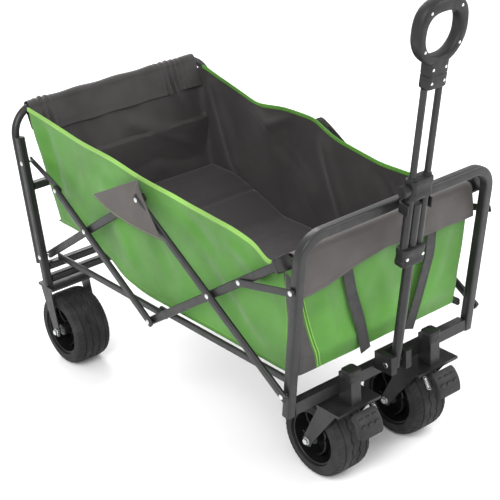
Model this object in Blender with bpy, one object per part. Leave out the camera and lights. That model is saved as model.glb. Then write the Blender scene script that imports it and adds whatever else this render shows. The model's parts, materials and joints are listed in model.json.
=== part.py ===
"""Folding camp wagon: two end frames joined by a four-bar scissor on each side, a cloth basket
hung between them, fixed rear wheels, swivelling front casters and a telescopic pull handle.

X is the width, -Y is the front (handle) end, +Z is up, and the wheels stand on Z = 0.
Each rigid group hangs from an empty that stands on the group's own joint axis.
"""

import math

import bmesh
import bpy
import numpy as np

# Driving dimensions, in metres
MID_Y = 0.0620          # where the two scissor halves meet
GAP = 0.0003            # air between pieces that touch

WHEEL_RADIUS = 0.085
WHEEL_WIDTH = 0.086
RIM_RADIUS = 0.058
HUB_RADIUS = 0.014
AXLE_RADIUS = 0.004
ARM_INNER = 0.0495      # wheel centre to the inner face of a fork or bracket arm
ARM_THICKNESS = 0.003

SCISSOR_ANGLE = math.radians(32.5)
SCISSOR_LINK = 0.253    # middle pivot to crossing pivot
CROSSING_Z = 0.383
REAR_TAIL = 0.2148      # crossing to the rear post pivot
FRONT_TAIL = 0.2455     # crossing to the front post pivot
LIFT_TAIL = 0.121       # crossing to the free rear end of the outer rear bar
RAIL_TAIL = 0.252       # crossing to the rail connector
LINK_TAIL = 0.111       # crossing to the pivot of the front steadying link
REAR_LINK_Z = 0.4879    # height of the rear steadying link's pivot on the rear post
FRONT_LINK_Z = 0.4733   # height of the front steadying link's pivot on the front post
BAR_DEPTH = 0.018
BAR_THICKNESS = 0.009
OUTER_BAR_X = 0.2575
INNER_BAR_X = 0.2475

FRONT_POST_X = 0.240
FRONT_TUBE = 0.020
FRONT_FOOT_Y = MID_Y - 0.413
FRONT_FOOT_Z = 0.200
FRONT_TOP_Z = 0.574
FRONT_LEAN = 0.150      # forward lean per metre of height
FRONT_BEND = 0.048

REAR_POST_X = 0.268
REAR_TUBE = 0.018
REAR_FOOT_Y = MID_Y + 0.387
REAR_FOOT_Z = 0.1992
REAR_POST_TOP_Z = 0.545
REAR_TOP_Z = 0.601
REAR_LEAN = 0.1174      # rearward lean per metre of height
REAR_BEND = 0.062

REAR_WHEEL_X = 0.219
REAR_WHEEL_Y = MID_Y + 0.370
REAR_PLATE_Z = (0.1905, 0.1965)
CASTER_X = 0.107
CASTER_Y = MID_Y - 0.443
CASTER_TRAIL = 0.075
CASTER_PLATE_Z = (0.178, 0.184)
STUD_HALF = 0.0125

FLOOR_HINGE_Z = 0.262
FLOOR_REAR_Y = MID_Y + 0.374
FLOOR_FRONT_Y = MID_Y - 0.402
FLOOR_REAR_X = 0.2345
FLOOR_FRONT_X = 0.2245
FLOOR_BAR_LENGTH = 0.398

HANDLE_PIVOT = (0.0, MID_Y - 0.453, 0.235)
HANDLE_LEAN = math.radians(9.3)
ROD_X = 0.0185

BLACK_STEEL = ((0.025, 0.025, 0.027), 0.42, 0.6)
BLACK_PLASTIC = ((0.020, 0.020, 0.021), 0.55, 0.0)
TYRE_BLACK = ((0.022, 0.022, 0.023), 0.75, 0.0)
ZINC_STEEL = ((0.55, 0.56, 0.57), 0.35, 1.0)
GREEN_CLOTH = ((0.16, 0.38, 0.06), 0.85, 0.0)
GREY_CLOTH = ((0.075, 0.070, 0.070), 0.90, 0.0)

pivots = {}
empties = {}


def clear_scene():
    for obj in list(bpy.data.objects):
        bpy.data.objects.remove(obj, do_unlink=True)


def add_body(name, pivot, parent=None):
    """An empty on a joint's axis, which carries the pieces that turn or slide on it."""
    empty = bpy.data.objects.new(name, None)
    empty.empty_display_size = 0.03
    bpy.context.collection.objects.link(empty)
    pivots[name] = np.array(pivot, float)
    empties[name] = empty
    if parent:
        empty.parent = empties[parent]
        empty.location = pivots[name] - pivots[parent]
    else:
        empty.location = pivots[name]


def finish_material(name, look):
    material = bpy.data.materials.new(name)
    material.use_nodes = True
    shader = material.node_tree.nodes["Principled BSDF"]
    color, roughness, metallic = look
    shader.inputs["Base Color"].default_value = (*color, 1.0)
    shader.inputs["Roughness"].default_value = roughness
    shader.inputs["Metallic"].default_value = metallic
    return material


def add_part(name, shape, body, look, smooth=False):
    """Turns a shape in wagon coordinates into a named object that hangs from its body's empty."""
    bmesh.ops.remove_doubles(shape, verts=shape.verts, dist=1e-6)
    bmesh.ops.recalc_face_normals(shape, faces=shape.faces)
    bmesh.ops.translate(shape, verts=shape.verts, vec=-pivots[body])
    mesh = bpy.data.meshes.new(name)
    shape.to_mesh(mesh)
    shape.free()
    if smooth:
        mesh.shade_smooth()
        mesh.set_sharp_from_angle(angle=math.radians(40))
    mesh.materials.append(finish_material(name, look))
    obj = bpy.data.objects.new(name, mesh)
    bpy.context.collection.objects.link(obj)
    obj.parent = empties[body]
    return obj


def combine(obj, tools, operation):
    """Joins or cuts a part with helper shapes, which stay hidden beside it."""
    for i, shape in enumerate(tools):
        helper = add_part(f"{obj.name}_{operation.lower()}_{i}", shape, obj.parent.name, BLACK_STEEL)
        helper.hide_render = True
        helper.display_type = "WIRE"
        modifier = obj.modifiers.new(helper.name, "BOOLEAN")
        modifier.operation = operation
        modifier.solver = "EXACT"
        modifier.object = helper


def rounded_rectangle(width, height, radius, steps=1):
    """The outline of a tube's section, with each corner an arc."""
    points = []
    for corner, (sx, sy) in enumerate(((1, 1), (-1, 1), (-1, -1), (1, -1))):
        for k in range(steps + 1):
            angle = math.pi / 2 * (corner + k / steps)
            x = sx * (width / 2 - radius) + radius * math.cos(angle)
            y = sy * (height / 2 - radius) + radius * math.sin(angle)
            points.append((x, y))
    return points


def circle_section(radius, sides):
    return [(radius * math.cos(2 * math.pi * k / sides), radius * math.sin(2 * math.pi * k / sides))
            for k in range(sides)]


def sweep(path, section, across=(1, 0, 0)):
    """Carries a section along a path. Its first axis stays as near to across as it can."""
    shape = bmesh.new()
    path = np.array(path, float)
    tangents = np.gradient(path, axis=0)
    tangents[0] = path[1] - path[0]
    tangents[-1] = path[-1] - path[-2]
    rings = []
    for point, tangent in zip(path, tangents):
        tangent = tangent / np.linalg.norm(tangent)
        first = np.array(across, float) - tangent * np.dot(across, tangent)
        first /= np.linalg.norm(first)
        second = np.cross(tangent, first)
        rings.append([shape.verts.new(point + u * first + v * second) for u, v in section])
    for ring, following in zip(rings, rings[1:]):
        for k in range(len(section)):
            n = (k + 1) % len(section)
            shape.faces.new((ring[k], ring[n], following[n], following[k]))
    shape.faces.new(list(reversed(rings[0])))
    shape.faces.new(rings[-1])
    return shape


def box(low, high):
    shape = bmesh.new()
    bmesh.ops.create_cube(shape, size=1.0)
    low, high = np.array(low, float), np.array(high, float)
    for vert in shape.verts:
        vert.co = (low + high) / 2 + np.array(vert.co) * (high - low)
    return shape


def slab(outline, axis, low, high):
    """A flat plate: an outline in the plane square to an axis (0 is X, 2 is Z), given a thickness."""
    shape = bmesh.new()
    layers = []
    for level in (low, high):
        layers.append([shape.verts.new(np.insert(point, axis, level)) for point in np.array(outline)])
    for k in range(len(outline)):
        n = (k + 1) % len(outline)
        shape.faces.new((layers[0][k], layers[0][n], layers[1][n], layers[1][k]))
    shape.faces.new(list(reversed(layers[0])))
    shape.faces.new(layers[1])
    return shape


def turned(profile, centre, direction, sides=32):
    """Turns a closed outline of (distance along, radius) points about an axis through centre."""
    shape = bmesh.new()
    along = np.array(direction, float)
    along /= np.linalg.norm(along)
    first = np.cross(along, (0, 0, 1) if abs(along[2]) < 0.9 else (1, 0, 0))
    first /= np.linalg.norm(first)
    second = np.cross(along, first)
    rings = []
    for k in range(sides):
        angle = 2 * math.pi * k / sides
        spoke = first * math.cos(angle) + second * math.sin(angle)
        rings.append([shape.verts.new(np.array(centre) + s * along + r * spoke) for s, r in profile])
    for k in range(sides):
        ring, following = rings[k], rings[(k + 1) % sides]
        for j in range(len(profile)):
            n = (j + 1) % len(profile)
            shape.faces.new((ring[j], ring[n], following[n], following[j]))
    return shape


def rod(start, end, radius, sides=12):
    return sweep((start, end), circle_section(radius, sides), (0.31, 0.95, 0.02))


def front_y(z):
    return FRONT_FOOT_Y - FRONT_LEAN * (z - FRONT_FOOT_Z)


def rear_y(z):
    return REAR_FOOT_Y + REAR_LEAN * (z - REAR_FOOT_Z)


def hoop_path(half_width, foot_z, top_z, bend, y_at):
    """An upside-down U between two feet, leaning as y_at says, with a quarter arc at each corner."""
    right = [(half_width, foot_z)]
    for k in range(7):
        angle = math.pi / 2 * k / 6
        right.append((half_width - bend + bend * math.cos(angle), top_z - bend + bend * math.sin(angle)))
    outline = right + [(-x, z) for x, z in reversed(right)]
    return [(x, y_at(z), z) for x, z in outline]


def along(start, angle, distance):
    """The point at a distance from start in the side plane; the angle is from +Y towards +Z."""
    return np.array(start) + distance * np.array((0.0, math.cos(angle), math.sin(angle)))


REST = SCISSOR_ANGLE
REAR_CROSSING = np.array((0.0, MID_Y + SCISSOR_LINK * math.cos(REST), CROSSING_Z))
FRONT_CROSSING = np.array((0.0, MID_Y - SCISSOR_LINK * math.cos(REST), CROSSING_Z))
TOP_PIVOT = along(REAR_CROSSING, math.pi - REST, SCISSOR_LINK)
LOW_PIVOT = along(REAR_CROSSING, math.pi + REST, SCISSOR_LINK)
REAR_PIVOT = along(REAR_CROSSING, -REST, REAR_TAIL)
FRONT_PIVOT = along(FRONT_CROSSING, math.pi + REST, FRONT_TAIL)
LIFT_END = along(REAR_CROSSING, REST, LIFT_TAIL)
RAIL_POINT = along(FRONT_CROSSING, math.pi - REST, RAIL_TAIL)
FRONT_LINK_FREE = along(FRONT_CROSSING, math.pi - REST, LINK_TAIL)
FRONT_LINK_PIVOT = np.array((0.0, front_y(FRONT_LINK_Z), FRONT_LINK_Z))
REAR_LINK_PIVOT = np.array((0.0, rear_y(REAR_LINK_Z) - 0.002, REAR_LINK_Z))
CONNECTOR_HALF = 0.015


def flat_bar(start, end, x, overhang=0.010, thickness=BAR_THICKNESS, depth=BAR_DEPTH, corner=0.003):
    """A flat-oval scissor bar between two pivots, standing past each by an overhang."""
    start, end = np.array(start), np.array(end)
    step = (end - start) / np.linalg.norm(end - start)
    offset = np.array((x, 0.0, 0.0))
    section = rounded_rectangle(thickness, depth, corner)
    return sweep((start - overhang * step + offset, end + overhang * step + offset), section)


def sides():
    return (("left", -1), ("right", 1))


def build_bodies():
    add_body("rear_frame", (0, 0, 0))
    add_body("lift_bars", REAR_PIVOT, "rear_frame")
    add_body("lower_rear_bars", REAR_CROSSING, "lift_bars")
    add_body("front_bars", TOP_PIVOT, "lift_bars")
    add_body("rail_bars", FRONT_CROSSING, "front_bars")
    add_body("front_frame", FRONT_PIVOT, "front_bars")
    add_body("rear_links", REAR_LINK_PIVOT, "rear_frame")
    add_body("front_links", FRONT_LINK_PIVOT, "front_frame")
    add_body("rear_floor_bars", (0, FLOOR_REAR_Y, FLOOR_HINGE_Z), "rear_frame")
    add_body("front_floor_bars", (0, FLOOR_FRONT_Y, FLOOR_HINGE_Z), "front_frame")
    for side, sign in sides():
        add_body(f"rear_wheel_{side}", (sign * REAR_WHEEL_X, REAR_WHEEL_Y, WHEEL_RADIUS), "rear_frame")
        caster = (sign * CASTER_X, CASTER_Y, CASTER_PLATE_Z[1])
        add_body(f"caster_{side}", caster, "front_frame")
        axle = (sign * CASTER_X, CASTER_Y + CASTER_TRAIL, WHEEL_RADIUS)
        add_body(f"front_wheel_{side}", axle, f"caster_{side}")
        add_body(f"pedal_{side}", (sign * CASTER_X, *PEDAL_HINGE), f"caster_{side}")
    add_body("handle_lower", HANDLE_PIVOT, "front_frame")
    add_body("handle_middle", handle_point(LOWER_CLAMP[0]), "handle_lower")
    add_body("handle_upper", handle_point(RODS[0]), "handle_middle")
    add_body("lock_knob", handle_point(KNOB_HEIGHT), "handle_middle")


def build_end_frames():
    section = rounded_rectangle(FRONT_TUBE, FRONT_TUBE, 0.004)
    path = hoop_path(FRONT_POST_X, FRONT_FOOT_Z, FRONT_TOP_Z, FRONT_BEND, front_y)
    add_part("front_u_tube", sweep(path, section, (0, 1, 0)), "front_frame", BLACK_STEEL, True)

    def round_y(z):
        return rear_y(z) + REAR_TUBE + 2 * GAP

    path = hoop_path(REAR_POST_X, REAR_FOOT_Z + 0.05, REAR_TOP_Z, REAR_BEND, round_y)
    hoop = sweep(path, circle_section(REAR_TUBE / 2, 10), (0, 1, 0))
    add_part("rear_u_tube", hoop, "rear_frame", BLACK_STEEL, True)

    square = rounded_rectangle(REAR_TUBE, REAR_TUBE, 0.003)
    for side, sign in sides():
        ends = [(sign * REAR_POST_X, rear_y(z), z) for z in (REAR_FOOT_Z, REAR_POST_TOP_Z)]
        add_part(f"rear_post_{side}", sweep(ends, square), "rear_frame", BLACK_STEEL)
    reach = REAR_POST_X - REAR_TUBE / 2 - GAP
    for name, z in (("low", 0.213), ("floor", 0.243), ("middle", 0.432)):
        bar = sweep(((-reach, rear_y(z), z), (reach, rear_y(z), z)), square, (0, 1, 0))
        add_part(f"rear_crossbar_{name}", bar, "rear_frame", BLACK_STEEL)

    reach = FRONT_POST_X - FRONT_TUBE / 2 - GAP
    half = FRONT_TUBE / 2
    bar = box((-reach, FRONT_FOOT_Y - half, FRONT_FOOT_Z), (reach, FRONT_FOOT_Y + half, FRONT_FOOT_Z + 0.024))
    crossbar = add_part("front_crossbar", bar, "front_frame", BLACK_STEEL)
    studs = []
    for _, sign in sides():
        low = (sign * CASTER_X - STUD_HALF, CASTER_Y - STUD_HALF, CASTER_PLATE_Z[1] + GAP)
        high = (sign * CASTER_X + STUD_HALF, FRONT_FOOT_Y - half + 0.002, 0.247)
        studs.append(box(low, high))
    combine(crossbar, studs, "UNION")


def build_scissors():
    bars = (
        ("lift_bar", REAR_PIVOT, TOP_PIVOT, INNER_BAR_X, "lift_bars"),
        ("lower_rear_bar", LOW_PIVOT, LIFT_END, OUTER_BAR_X, "lower_rear_bars"),
        ("front_bar", FRONT_PIVOT, TOP_PIVOT, OUTER_BAR_X, "front_bars"),
    )
    rail_end = along(RAIL_POINT, -REST, CONNECTOR_HALF + 0.010 + GAP)
    for side, sign in sides():
        for name, start, end, x, body in bars:
            add_part(f"{name}_{side}", flat_bar(start, end, sign * x), body, BLACK_STEEL)
        bar = flat_bar(LOW_PIVOT, rail_end, sign * INNER_BAR_X)
        add_part(f"rail_bar_{side}", bar, "rail_bars", BLACK_STEEL)
        middle = RAIL_POINT + (sign * INNER_BAR_X, 0, 0)
        ends = [along(middle, -REST, reach) for reach in (CONNECTOR_HALF, -CONNECTOR_HALF)]
        block = sweep(ends, rounded_rectangle(0.022, 0.030, 0.005))
        add_part(f"rail_connector_{side}", block, "rail_bars", BLACK_PLASTIC)
        link = flat_bar(REAR_LINK_PIVOT, LIFT_END, sign * 0.2502, 0.008, 0.003, 0.015, 0.001)
        add_part(f"rear_link_{side}", link, "rear_links", BLACK_STEEL)
        link = flat_bar(FRONT_LINK_PIVOT, FRONT_LINK_FREE, sign * 0.2552, 0.008, 0.003, 0.015, 0.001)
        add_part(f"front_link_{side}", link, "front_links", BLACK_STEEL)
        hinge = np.array((0, FLOOR_REAR_Y, FLOOR_HINGE_Z))
        end = along(hinge, math.pi, FLOOR_BAR_LENGTH)
        bar = flat_bar(hinge, end, sign * FLOOR_REAR_X, 0.008, 0.008, 0.016)
        add_part(f"floor_bar_rear_{side}", bar, "rear_floor_bars", BLACK_STEEL)
        hinge = np.array((0, FLOOR_FRONT_Y, FLOOR_HINGE_Z))
        end = along(hinge, 0, FLOOR_BAR_LENGTH)
        bar = flat_bar(hinge, end, sign * FLOOR_FRONT_X, 0.008, 0.008, 0.016)
        add_part(f"floor_bar_front_{side}", bar, "front_floor_bars", BLACK_STEEL)
    reach = INNER_BAR_X - 0.011 - GAP
    rail = rod(RAIL_POINT - (reach, 0, 0), RAIL_POINT + (reach, 0, 0), 0.008)
    add_part("front_rail", rail, "rail_bars", BLACK_STEEL, True)


def tyre_profile():
    half = WHEEL_WIDTH / 2
    inner = RIM_RADIUS + GAP
    outer = ((-half + 0.006, inner), (-half, inner + 0.008), (-half + 0.001, WHEEL_RADIUS - 0.011),
             (-half + 0.007, WHEEL_RADIUS - 0.003), (-half + 0.016, WHEEL_RADIUS))
    return list(outer) + [(-s, r) for s, r in reversed(outer)]


def rim_profile():
    bore = AXLE_RADIUS + 0.0004
    side = ((-0.040, bore), (-0.040, HUB_RADIUS), (-0.006, HUB_RADIUS + 0.003), (-0.006, RIM_RADIUS - 0.007),
            (-0.036, RIM_RADIUS - 0.004), (-0.036, RIM_RADIUS))
    return list(side) + [(-s, r) for s, r in reversed(side)]


def bolt_profile():
    shaft_end = ARM_INNER + ARM_THICKNESS + GAP
    head_end = shaft_end + 0.007
    side = ((-head_end, 0.0015), (-head_end, 0.007), (-shaft_end, 0.008), (-shaft_end, AXLE_RADIUS))
    return list(side) + [(-s, r) for s, r in reversed(side)]


def build_wheel(name, centre, wheel_body, frame_body):
    add_part(f"{name}_tyre", turned(tyre_profile(), centre, (1, 0, 0), 32), wheel_body, TYRE_BLACK, True)
    add_part(f"{name}_rim", turned(rim_profile(), centre, (1, 0, 0), 24), wheel_body, BLACK_PLASTIC, True)
    add_part(f"{name}_axle", turned(bolt_profile(), centre, (1, 0, 0), 12), frame_body, ZINC_STEEL, True)


def arm_outline(axle_y, top_z, front_y_top, rear_y_top):
    """A bracket arm in the side plane: wide at the plate and round at the axle."""
    points = [(rear_y_top, top_z), (front_y_top, top_z)]
    for k in range(5):
        angle = math.pi * (1.0 + k / 4)
        points.append((axle_y + 0.013 * math.cos(angle), WHEEL_RADIUS + 0.013 * math.sin(angle)))
    return points


def build_fork(name, centre, plate_low, plate_high, arm_edges, body):
    """A pressed plate with an arm down each side of the wheel, bored for the axle bolt."""
    fork = add_part(name, box(plate_low, plate_high), body, BLACK_STEEL)
    arms = []
    for sign in (-1, 1):
        faces = sorted(centre[0] + sign * (ARM_INNER + t) for t in (0, ARM_THICKNESS))
        outline = arm_outline(centre[1], plate_low[2] + 0.002, *arm_edges)
        arms.append(slab(outline, 0, *faces))
    combine(fork, arms, "UNION")
    reach = np.array((ARM_INNER + 0.02, 0, 0))
    combine(fork, [rod(centre - reach, centre + reach, AXLE_RADIUS + 0.0004)], "DIFFERENCE")


def build_wheels():
    reach = ARM_INNER + ARM_THICKNESS
    for side, sign in sides():
        centre = np.array((sign * REAR_WHEEL_X, REAR_WHEEL_Y, WHEEL_RADIUS))
        low = (centre[0] - reach - 0.003, REAR_FOOT_Y - 0.026, REAR_PLATE_Z[0])
        high = (centre[0] + reach + 0.003, REAR_FOOT_Y + 0.034, REAR_PLATE_Z[1])
        edges = (REAR_FOOT_Y - 0.010, REAR_FOOT_Y + 0.030)
        build_fork(f"rear_bracket_{side}", centre, low, high, edges, "rear_frame")
        build_wheel(f"rear_wheel_{side}", centre, f"rear_wheel_{side}", "rear_frame")

        centre = np.array((sign * CASTER_X, CASTER_Y + CASTER_TRAIL, WHEEL_RADIUS))
        low = (centre[0] - reach - 0.003, CASTER_Y - 0.022, CASTER_PLATE_Z[0])
        high = (centre[0] + reach + 0.003, CASTER_Y + 0.040, CASTER_PLATE_Z[1])
        edges = (CASTER_Y - 0.012, CASTER_Y + 0.038)
        build_fork(f"caster_fork_{side}", centre, low, high, edges, f"caster_{side}")
        build_wheel(f"front_wheel_{side}", centre, f"front_wheel_{side}", f"caster_{side}")

        hinge_y, hinge_z = PEDAL_HINGE
        outline = ((hinge_y + 0.003, hinge_z - 0.005), (hinge_y + 0.003, hinge_z + 0.004),
                   (hinge_y - 0.020, hinge_z + 0.004), (hinge_y - 0.030, hinge_z - 0.022),
                   (hinge_y - 0.026, hinge_z - 0.044), (hinge_y - 0.018, hinge_z - 0.046),
                   (hinge_y - 0.013, hinge_z - 0.012))
        pedal = slab(outline, 0, sign * CASTER_X - 0.030, sign * CASTER_X + 0.030)
        add_part(f"brake_pedal_{side}", pedal, f"pedal_{side}", BLACK_PLASTIC)


PEDAL_HINGE = (CASTER_Y - 0.026, 0.176)

# Distances up the handle from its pivot
CENTRE_TUBE = (-0.012, 0.352)
LOWER_CLAMP = (0.226, 0.262)
OUTER_TUBES = (LOWER_CLAMP[1] + GAP, 0.366)
UPPER_CLAMP = (OUTER_TUBES[1] + GAP, 0.404)
RODS = (0.340, 0.580)
GRIP_SOCKET = (RODS[1] + GAP, 0.612)
GRIP_TOP = 0.742
KNOB_HEIGHT = 0.386
ROD_RADIUS = 0.0064
SLEEVE_RADII = (0.0070, 0.0082)
CENTRE_RADIUS = 0.0100


def handle_point(height, x=0.0, ahead=0.0):
    """A point on the handle, at a height up its slope, to one side and ahead of its plane."""
    up = np.array((0.0, -math.sin(HANDLE_LEAN), math.cos(HANDLE_LEAN)))
    forward = np.array((0.0, -math.cos(HANDLE_LEAN), -math.sin(HANDLE_LEAN)))
    return np.array(HANDLE_PIVOT) + height * up + ahead * forward + (x, 0, 0)


def grip_outline():
    """The outer edge of the D grip, up its plane from the socket, as (x, height) points."""
    points = [(-0.024, GRIP_SOCKET[0]), (-0.024, GRIP_SOCKET[1]), (-0.052, 0.652), (-0.060, 0.680)]
    for k in range(5):
        angle = math.pi - math.pi / 2 * k / 4
        points.append((-0.030 + 0.030 * math.cos(angle), GRIP_TOP - 0.030 + 0.030 * math.sin(angle)))
    return points + [(-x, h) for x, h in reversed(points)]


def opening_outline():
    """The finger opening of the grip: flat under the fingers and rounded towards the socket."""
    return ((-0.020, 0.632), (0.020, 0.632), (0.034, 0.650), (0.040, 0.680), (0.038, 0.704),
            (0.026, 0.714), (-0.026, 0.714), (-0.038, 0.704), (-0.040, 0.680), (-0.034, 0.650))


def handle_slab(outline, thickness):
    """A plate in the handle's own plane, as thick as given."""
    shape = bmesh.new()
    layers = [[shape.verts.new(handle_point(h, x, ahead)) for x, h in outline]
              for ahead in (-thickness / 2, thickness / 2)]
    for k in range(len(outline)):
        n = (k + 1) % len(outline)
        shape.faces.new((layers[0][k], layers[0][n], layers[1][n], layers[1][k]))
    shape.faces.new(list(reversed(layers[0])))
    shape.faces.new(layers[1])
    return shape


def clamp_block(span, width, depth):
    section = rounded_rectangle(width, depth, 0.008, 2)
    return sweep((handle_point(span[0]), handle_point(span[1])), section)


def drill(span, x, radius):
    return rod(handle_point(span[0] - 0.01, x), handle_point(span[1] + 0.01, x), radius, 16)


def build_handle():
    root_y = FRONT_FOOT_Y - FRONT_TUBE / 2 - GAP
    ear, gap, tip = 0.027, 0.0125, HANDLE_PIVOT[1] - 0.016
    outline = ((-ear, root_y), (-ear, tip), (-gap, tip), (-gap, root_y - 0.009),
               (gap, root_y - 0.009), (gap, tip), (ear, tip), (ear, root_y))
    bracket = slab(outline, 2, HANDLE_PIVOT[2] - 0.018, HANDLE_PIVOT[2] + 0.020)
    add_part("handle_bracket", bracket, "front_frame", BLACK_PLASTIC)

    tube = rod(handle_point(CENTRE_TUBE[0]), handle_point(CENTRE_TUBE[1]), CENTRE_RADIUS, 16)
    add_part("handle_centre_tube", tube, "handle_lower", BLACK_STEEL, True)

    block = clamp_block(LOWER_CLAMP, 0.058, 0.030)
    clamp = add_part("handle_lower_clamp", block, "handle_middle", BLACK_PLASTIC)
    combine(clamp, [drill(LOWER_CLAMP, 0, CENTRE_RADIUS + 0.0005)], "DIFFERENCE")
    block = clamp_block(UPPER_CLAMP, 0.056, 0.028)
    clamp = add_part("handle_upper_clamp", block, "handle_middle", BLACK_PLASTIC)
    holes = [drill(UPPER_CLAMP, sign * ROD_X, SLEEVE_RADII[0]) for _, sign in sides()]
    holes.append(drill(UPPER_CLAMP, 0, CENTRE_RADIUS + 0.0005))
    combine(clamp, holes, "DIFFERENCE")

    length = OUTER_TUBES[1] - OUTER_TUBES[0]
    slope = handle_point(1.0) - handle_point(0.0)
    inner, outer = SLEEVE_RADII
    for side, sign in sides():
        wall = ((0, inner), (0, outer), (length, outer), (length, inner))
        tube = turned(wall, handle_point(OUTER_TUBES[0], sign * ROD_X), slope, 12)
        add_part(f"handle_outer_tube_{side}", tube, "handle_middle", BLACK_STEEL, True)
        tube = rod(handle_point(RODS[0], sign * ROD_X), handle_point(RODS[1], sign * ROD_X), ROD_RADIUS)
        add_part(f"handle_rod_{side}", tube, "handle_upper", BLACK_STEEL, True)

    grip = add_part("handle_grip", handle_slab(grip_outline(), 0.026), "handle_upper", BLACK_PLASTIC)
    combine(grip, [handle_slab(opening_outline(), 0.060)], "DIFFERENCE")

    base = handle_point(KNOB_HEIGHT) - (0.028 + GAP, 0, 0)
    add_part("handle_lock_knob", rod(base, base - (0.016, 0, 0), 0.012, 16), "lock_knob", BLACK_PLASTIC, True)


FLOOR_TOP = 0.300
FLOOR_BOTTOM = 0.276
BASKET_REAR_Y = MID_Y + 0.372
BASKET_FRONT_Y = MID_Y - 0.398


def side_outline():
    """The side panel's edge, seen from the side: high at the rear hoop, dipping before the front rail."""
    rear, front = BASKET_REAR_Y, BASKET_FRONT_Y
    top = ((rear - 0.002, 0.582), (MID_Y + 0.200, 0.572), (MID_Y, 0.557), (MID_Y - 0.19, 0.541),
           (MID_Y - 0.335, 0.521), (MID_Y - 0.368, 0.498), (front, 0.490))
    return ((front, FLOOR_BOTTOM), (rear - 0.05, FLOOR_BOTTOM), (rear, 0.320), *top)


def cloth_panel(corners, offset):
    """A panel between its corner points, thickened by an offset."""
    shape = bmesh.new()
    near = [shape.verts.new(c) for c in corners]
    far = [shape.verts.new(np.array(c) + offset) for c in corners]
    for k in range(len(corners)):
        n = (k + 1) % len(corners)
        shape.faces.new((near[k], near[n], far[n], far[k]))
    shape.faces.new(list(reversed(near)))
    shape.faces.new(far)
    return shape


def build_basket():
    low_x, high_x, cloth = 0.2145, 0.236, 0.003
    for side, sign in sides():
        corners = []
        for y, z in side_outline():
            share = (z - FLOOR_BOTTOM) / (0.582 - FLOOR_BOTTOM)
            corners.append((sign * (low_x + share * (high_x - low_x)), y, z))
        panel = cloth_panel(corners, (sign * cloth, 0, 0))
        add_part(f"basket_side_{side}", panel, "rear_frame", GREEN_CLOTH)
    x = low_x - 0.001
    rear = BASKET_REAR_Y - cloth
    corners = ((-x, rear - 0.03, FLOOR_BOTTOM), (x, rear - 0.03, FLOOR_BOTTOM), (x, rear, 0.340),
               (x, rear + 0.018, 0.582), (-x, rear + 0.018, 0.582), (-x, rear, 0.340))
    add_part("basket_rear_panel", cloth_panel(corners, (0, cloth, 0)), "rear_frame", GREY_CLOTH)
    front = BASKET_FRONT_Y
    corners = ((-x, front, FLOOR_BOTTOM), (x, front, FLOOR_BOTTOM),
               (x, front - 0.020, 0.505), (-x, front - 0.020, 0.505))
    add_part("basket_front_panel", cloth_panel(corners, (0, -cloth, 0)), "rear_frame", GREEN_CLOTH)
    low = (-x + 0.001, front + 0.001, FLOOR_BOTTOM)
    high = (x - 0.001, rear - 0.032, FLOOR_TOP)
    add_part("floor_mat", box(low, high), "rear_frame", GREY_CLOTH)


clear_scene()
build_bodies()
build_end_frames()
build_scissors()
build_wheels()
build_handle()
build_basket()
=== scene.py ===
"""The looks of a folding camp wagon: powder-coated end frames and scissor bars, moulded wheels and
handle, and a green and charcoal cloth basket that hangs between the two hoops.

The sections follow the wagon as it is put together.
"""

import json
import math

import bmesh
import bpy
import numpy as np
from mathutils import Matrix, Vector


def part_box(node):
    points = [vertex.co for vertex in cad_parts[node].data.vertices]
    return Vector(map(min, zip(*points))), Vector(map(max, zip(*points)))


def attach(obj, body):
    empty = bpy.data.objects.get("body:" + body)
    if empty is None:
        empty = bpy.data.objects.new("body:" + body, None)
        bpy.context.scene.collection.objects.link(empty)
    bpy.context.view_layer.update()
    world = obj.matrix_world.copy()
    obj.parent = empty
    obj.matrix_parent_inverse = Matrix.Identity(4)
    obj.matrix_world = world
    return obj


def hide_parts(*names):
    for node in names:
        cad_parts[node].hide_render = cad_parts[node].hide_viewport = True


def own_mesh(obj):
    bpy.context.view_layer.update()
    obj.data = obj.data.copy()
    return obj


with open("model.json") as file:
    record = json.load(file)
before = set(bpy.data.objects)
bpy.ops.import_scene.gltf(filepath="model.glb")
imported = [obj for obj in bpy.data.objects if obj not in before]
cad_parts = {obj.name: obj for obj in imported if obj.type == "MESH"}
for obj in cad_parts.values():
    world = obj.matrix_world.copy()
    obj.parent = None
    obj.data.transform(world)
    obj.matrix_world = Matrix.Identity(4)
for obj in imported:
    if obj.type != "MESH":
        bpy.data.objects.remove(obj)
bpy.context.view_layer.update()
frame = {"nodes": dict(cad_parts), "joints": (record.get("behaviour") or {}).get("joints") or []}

# ---------------------------------------------------------------------------------------------
# The studio: a pale floor under three soft lamps and a pale room. The camera stands in front of
# the wagon's near corner and looks down on it from a little above the handle.

LENS = 96.4
CAMERA_PLACE = (-1.585, -1.989, 1.534)
CAMERA_AZIMUTH = math.radians(-37.967)
CAMERA_ELEVATION = math.radians(25.088)
CAMERA_ROLL = math.radians(-3.495)


def camera_turn(azimuth, elevation, roll):
    """The turn whose third axis points back along the view, with the first two rolled about it."""
    forward = np.array((-math.sin(azimuth) * math.cos(elevation),
                        math.cos(azimuth) * math.cos(elevation), -math.sin(elevation)))
    right = np.array((math.cos(azimuth), math.sin(azimuth), 0.0))
    up = np.cross(right, forward)
    rolled_right = math.cos(roll) * right + math.sin(roll) * up
    rolled_up = math.cos(roll) * up - math.sin(roll) * right
    return Matrix(np.stack((rolled_right, rolled_up, -forward), axis=1).tolist())


camera = bpy.data.objects.new("camera", bpy.data.cameras.new("camera"))
camera.data.lens = LENS
turn = camera_turn(CAMERA_AZIMUTH, CAMERA_ELEVATION, CAMERA_ROLL)
camera.matrix_world = Matrix.Translation(CAMERA_PLACE) @ turn.to_4x4()
bpy.context.collection.objects.link(camera)
bpy.context.scene.camera = camera


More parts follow.
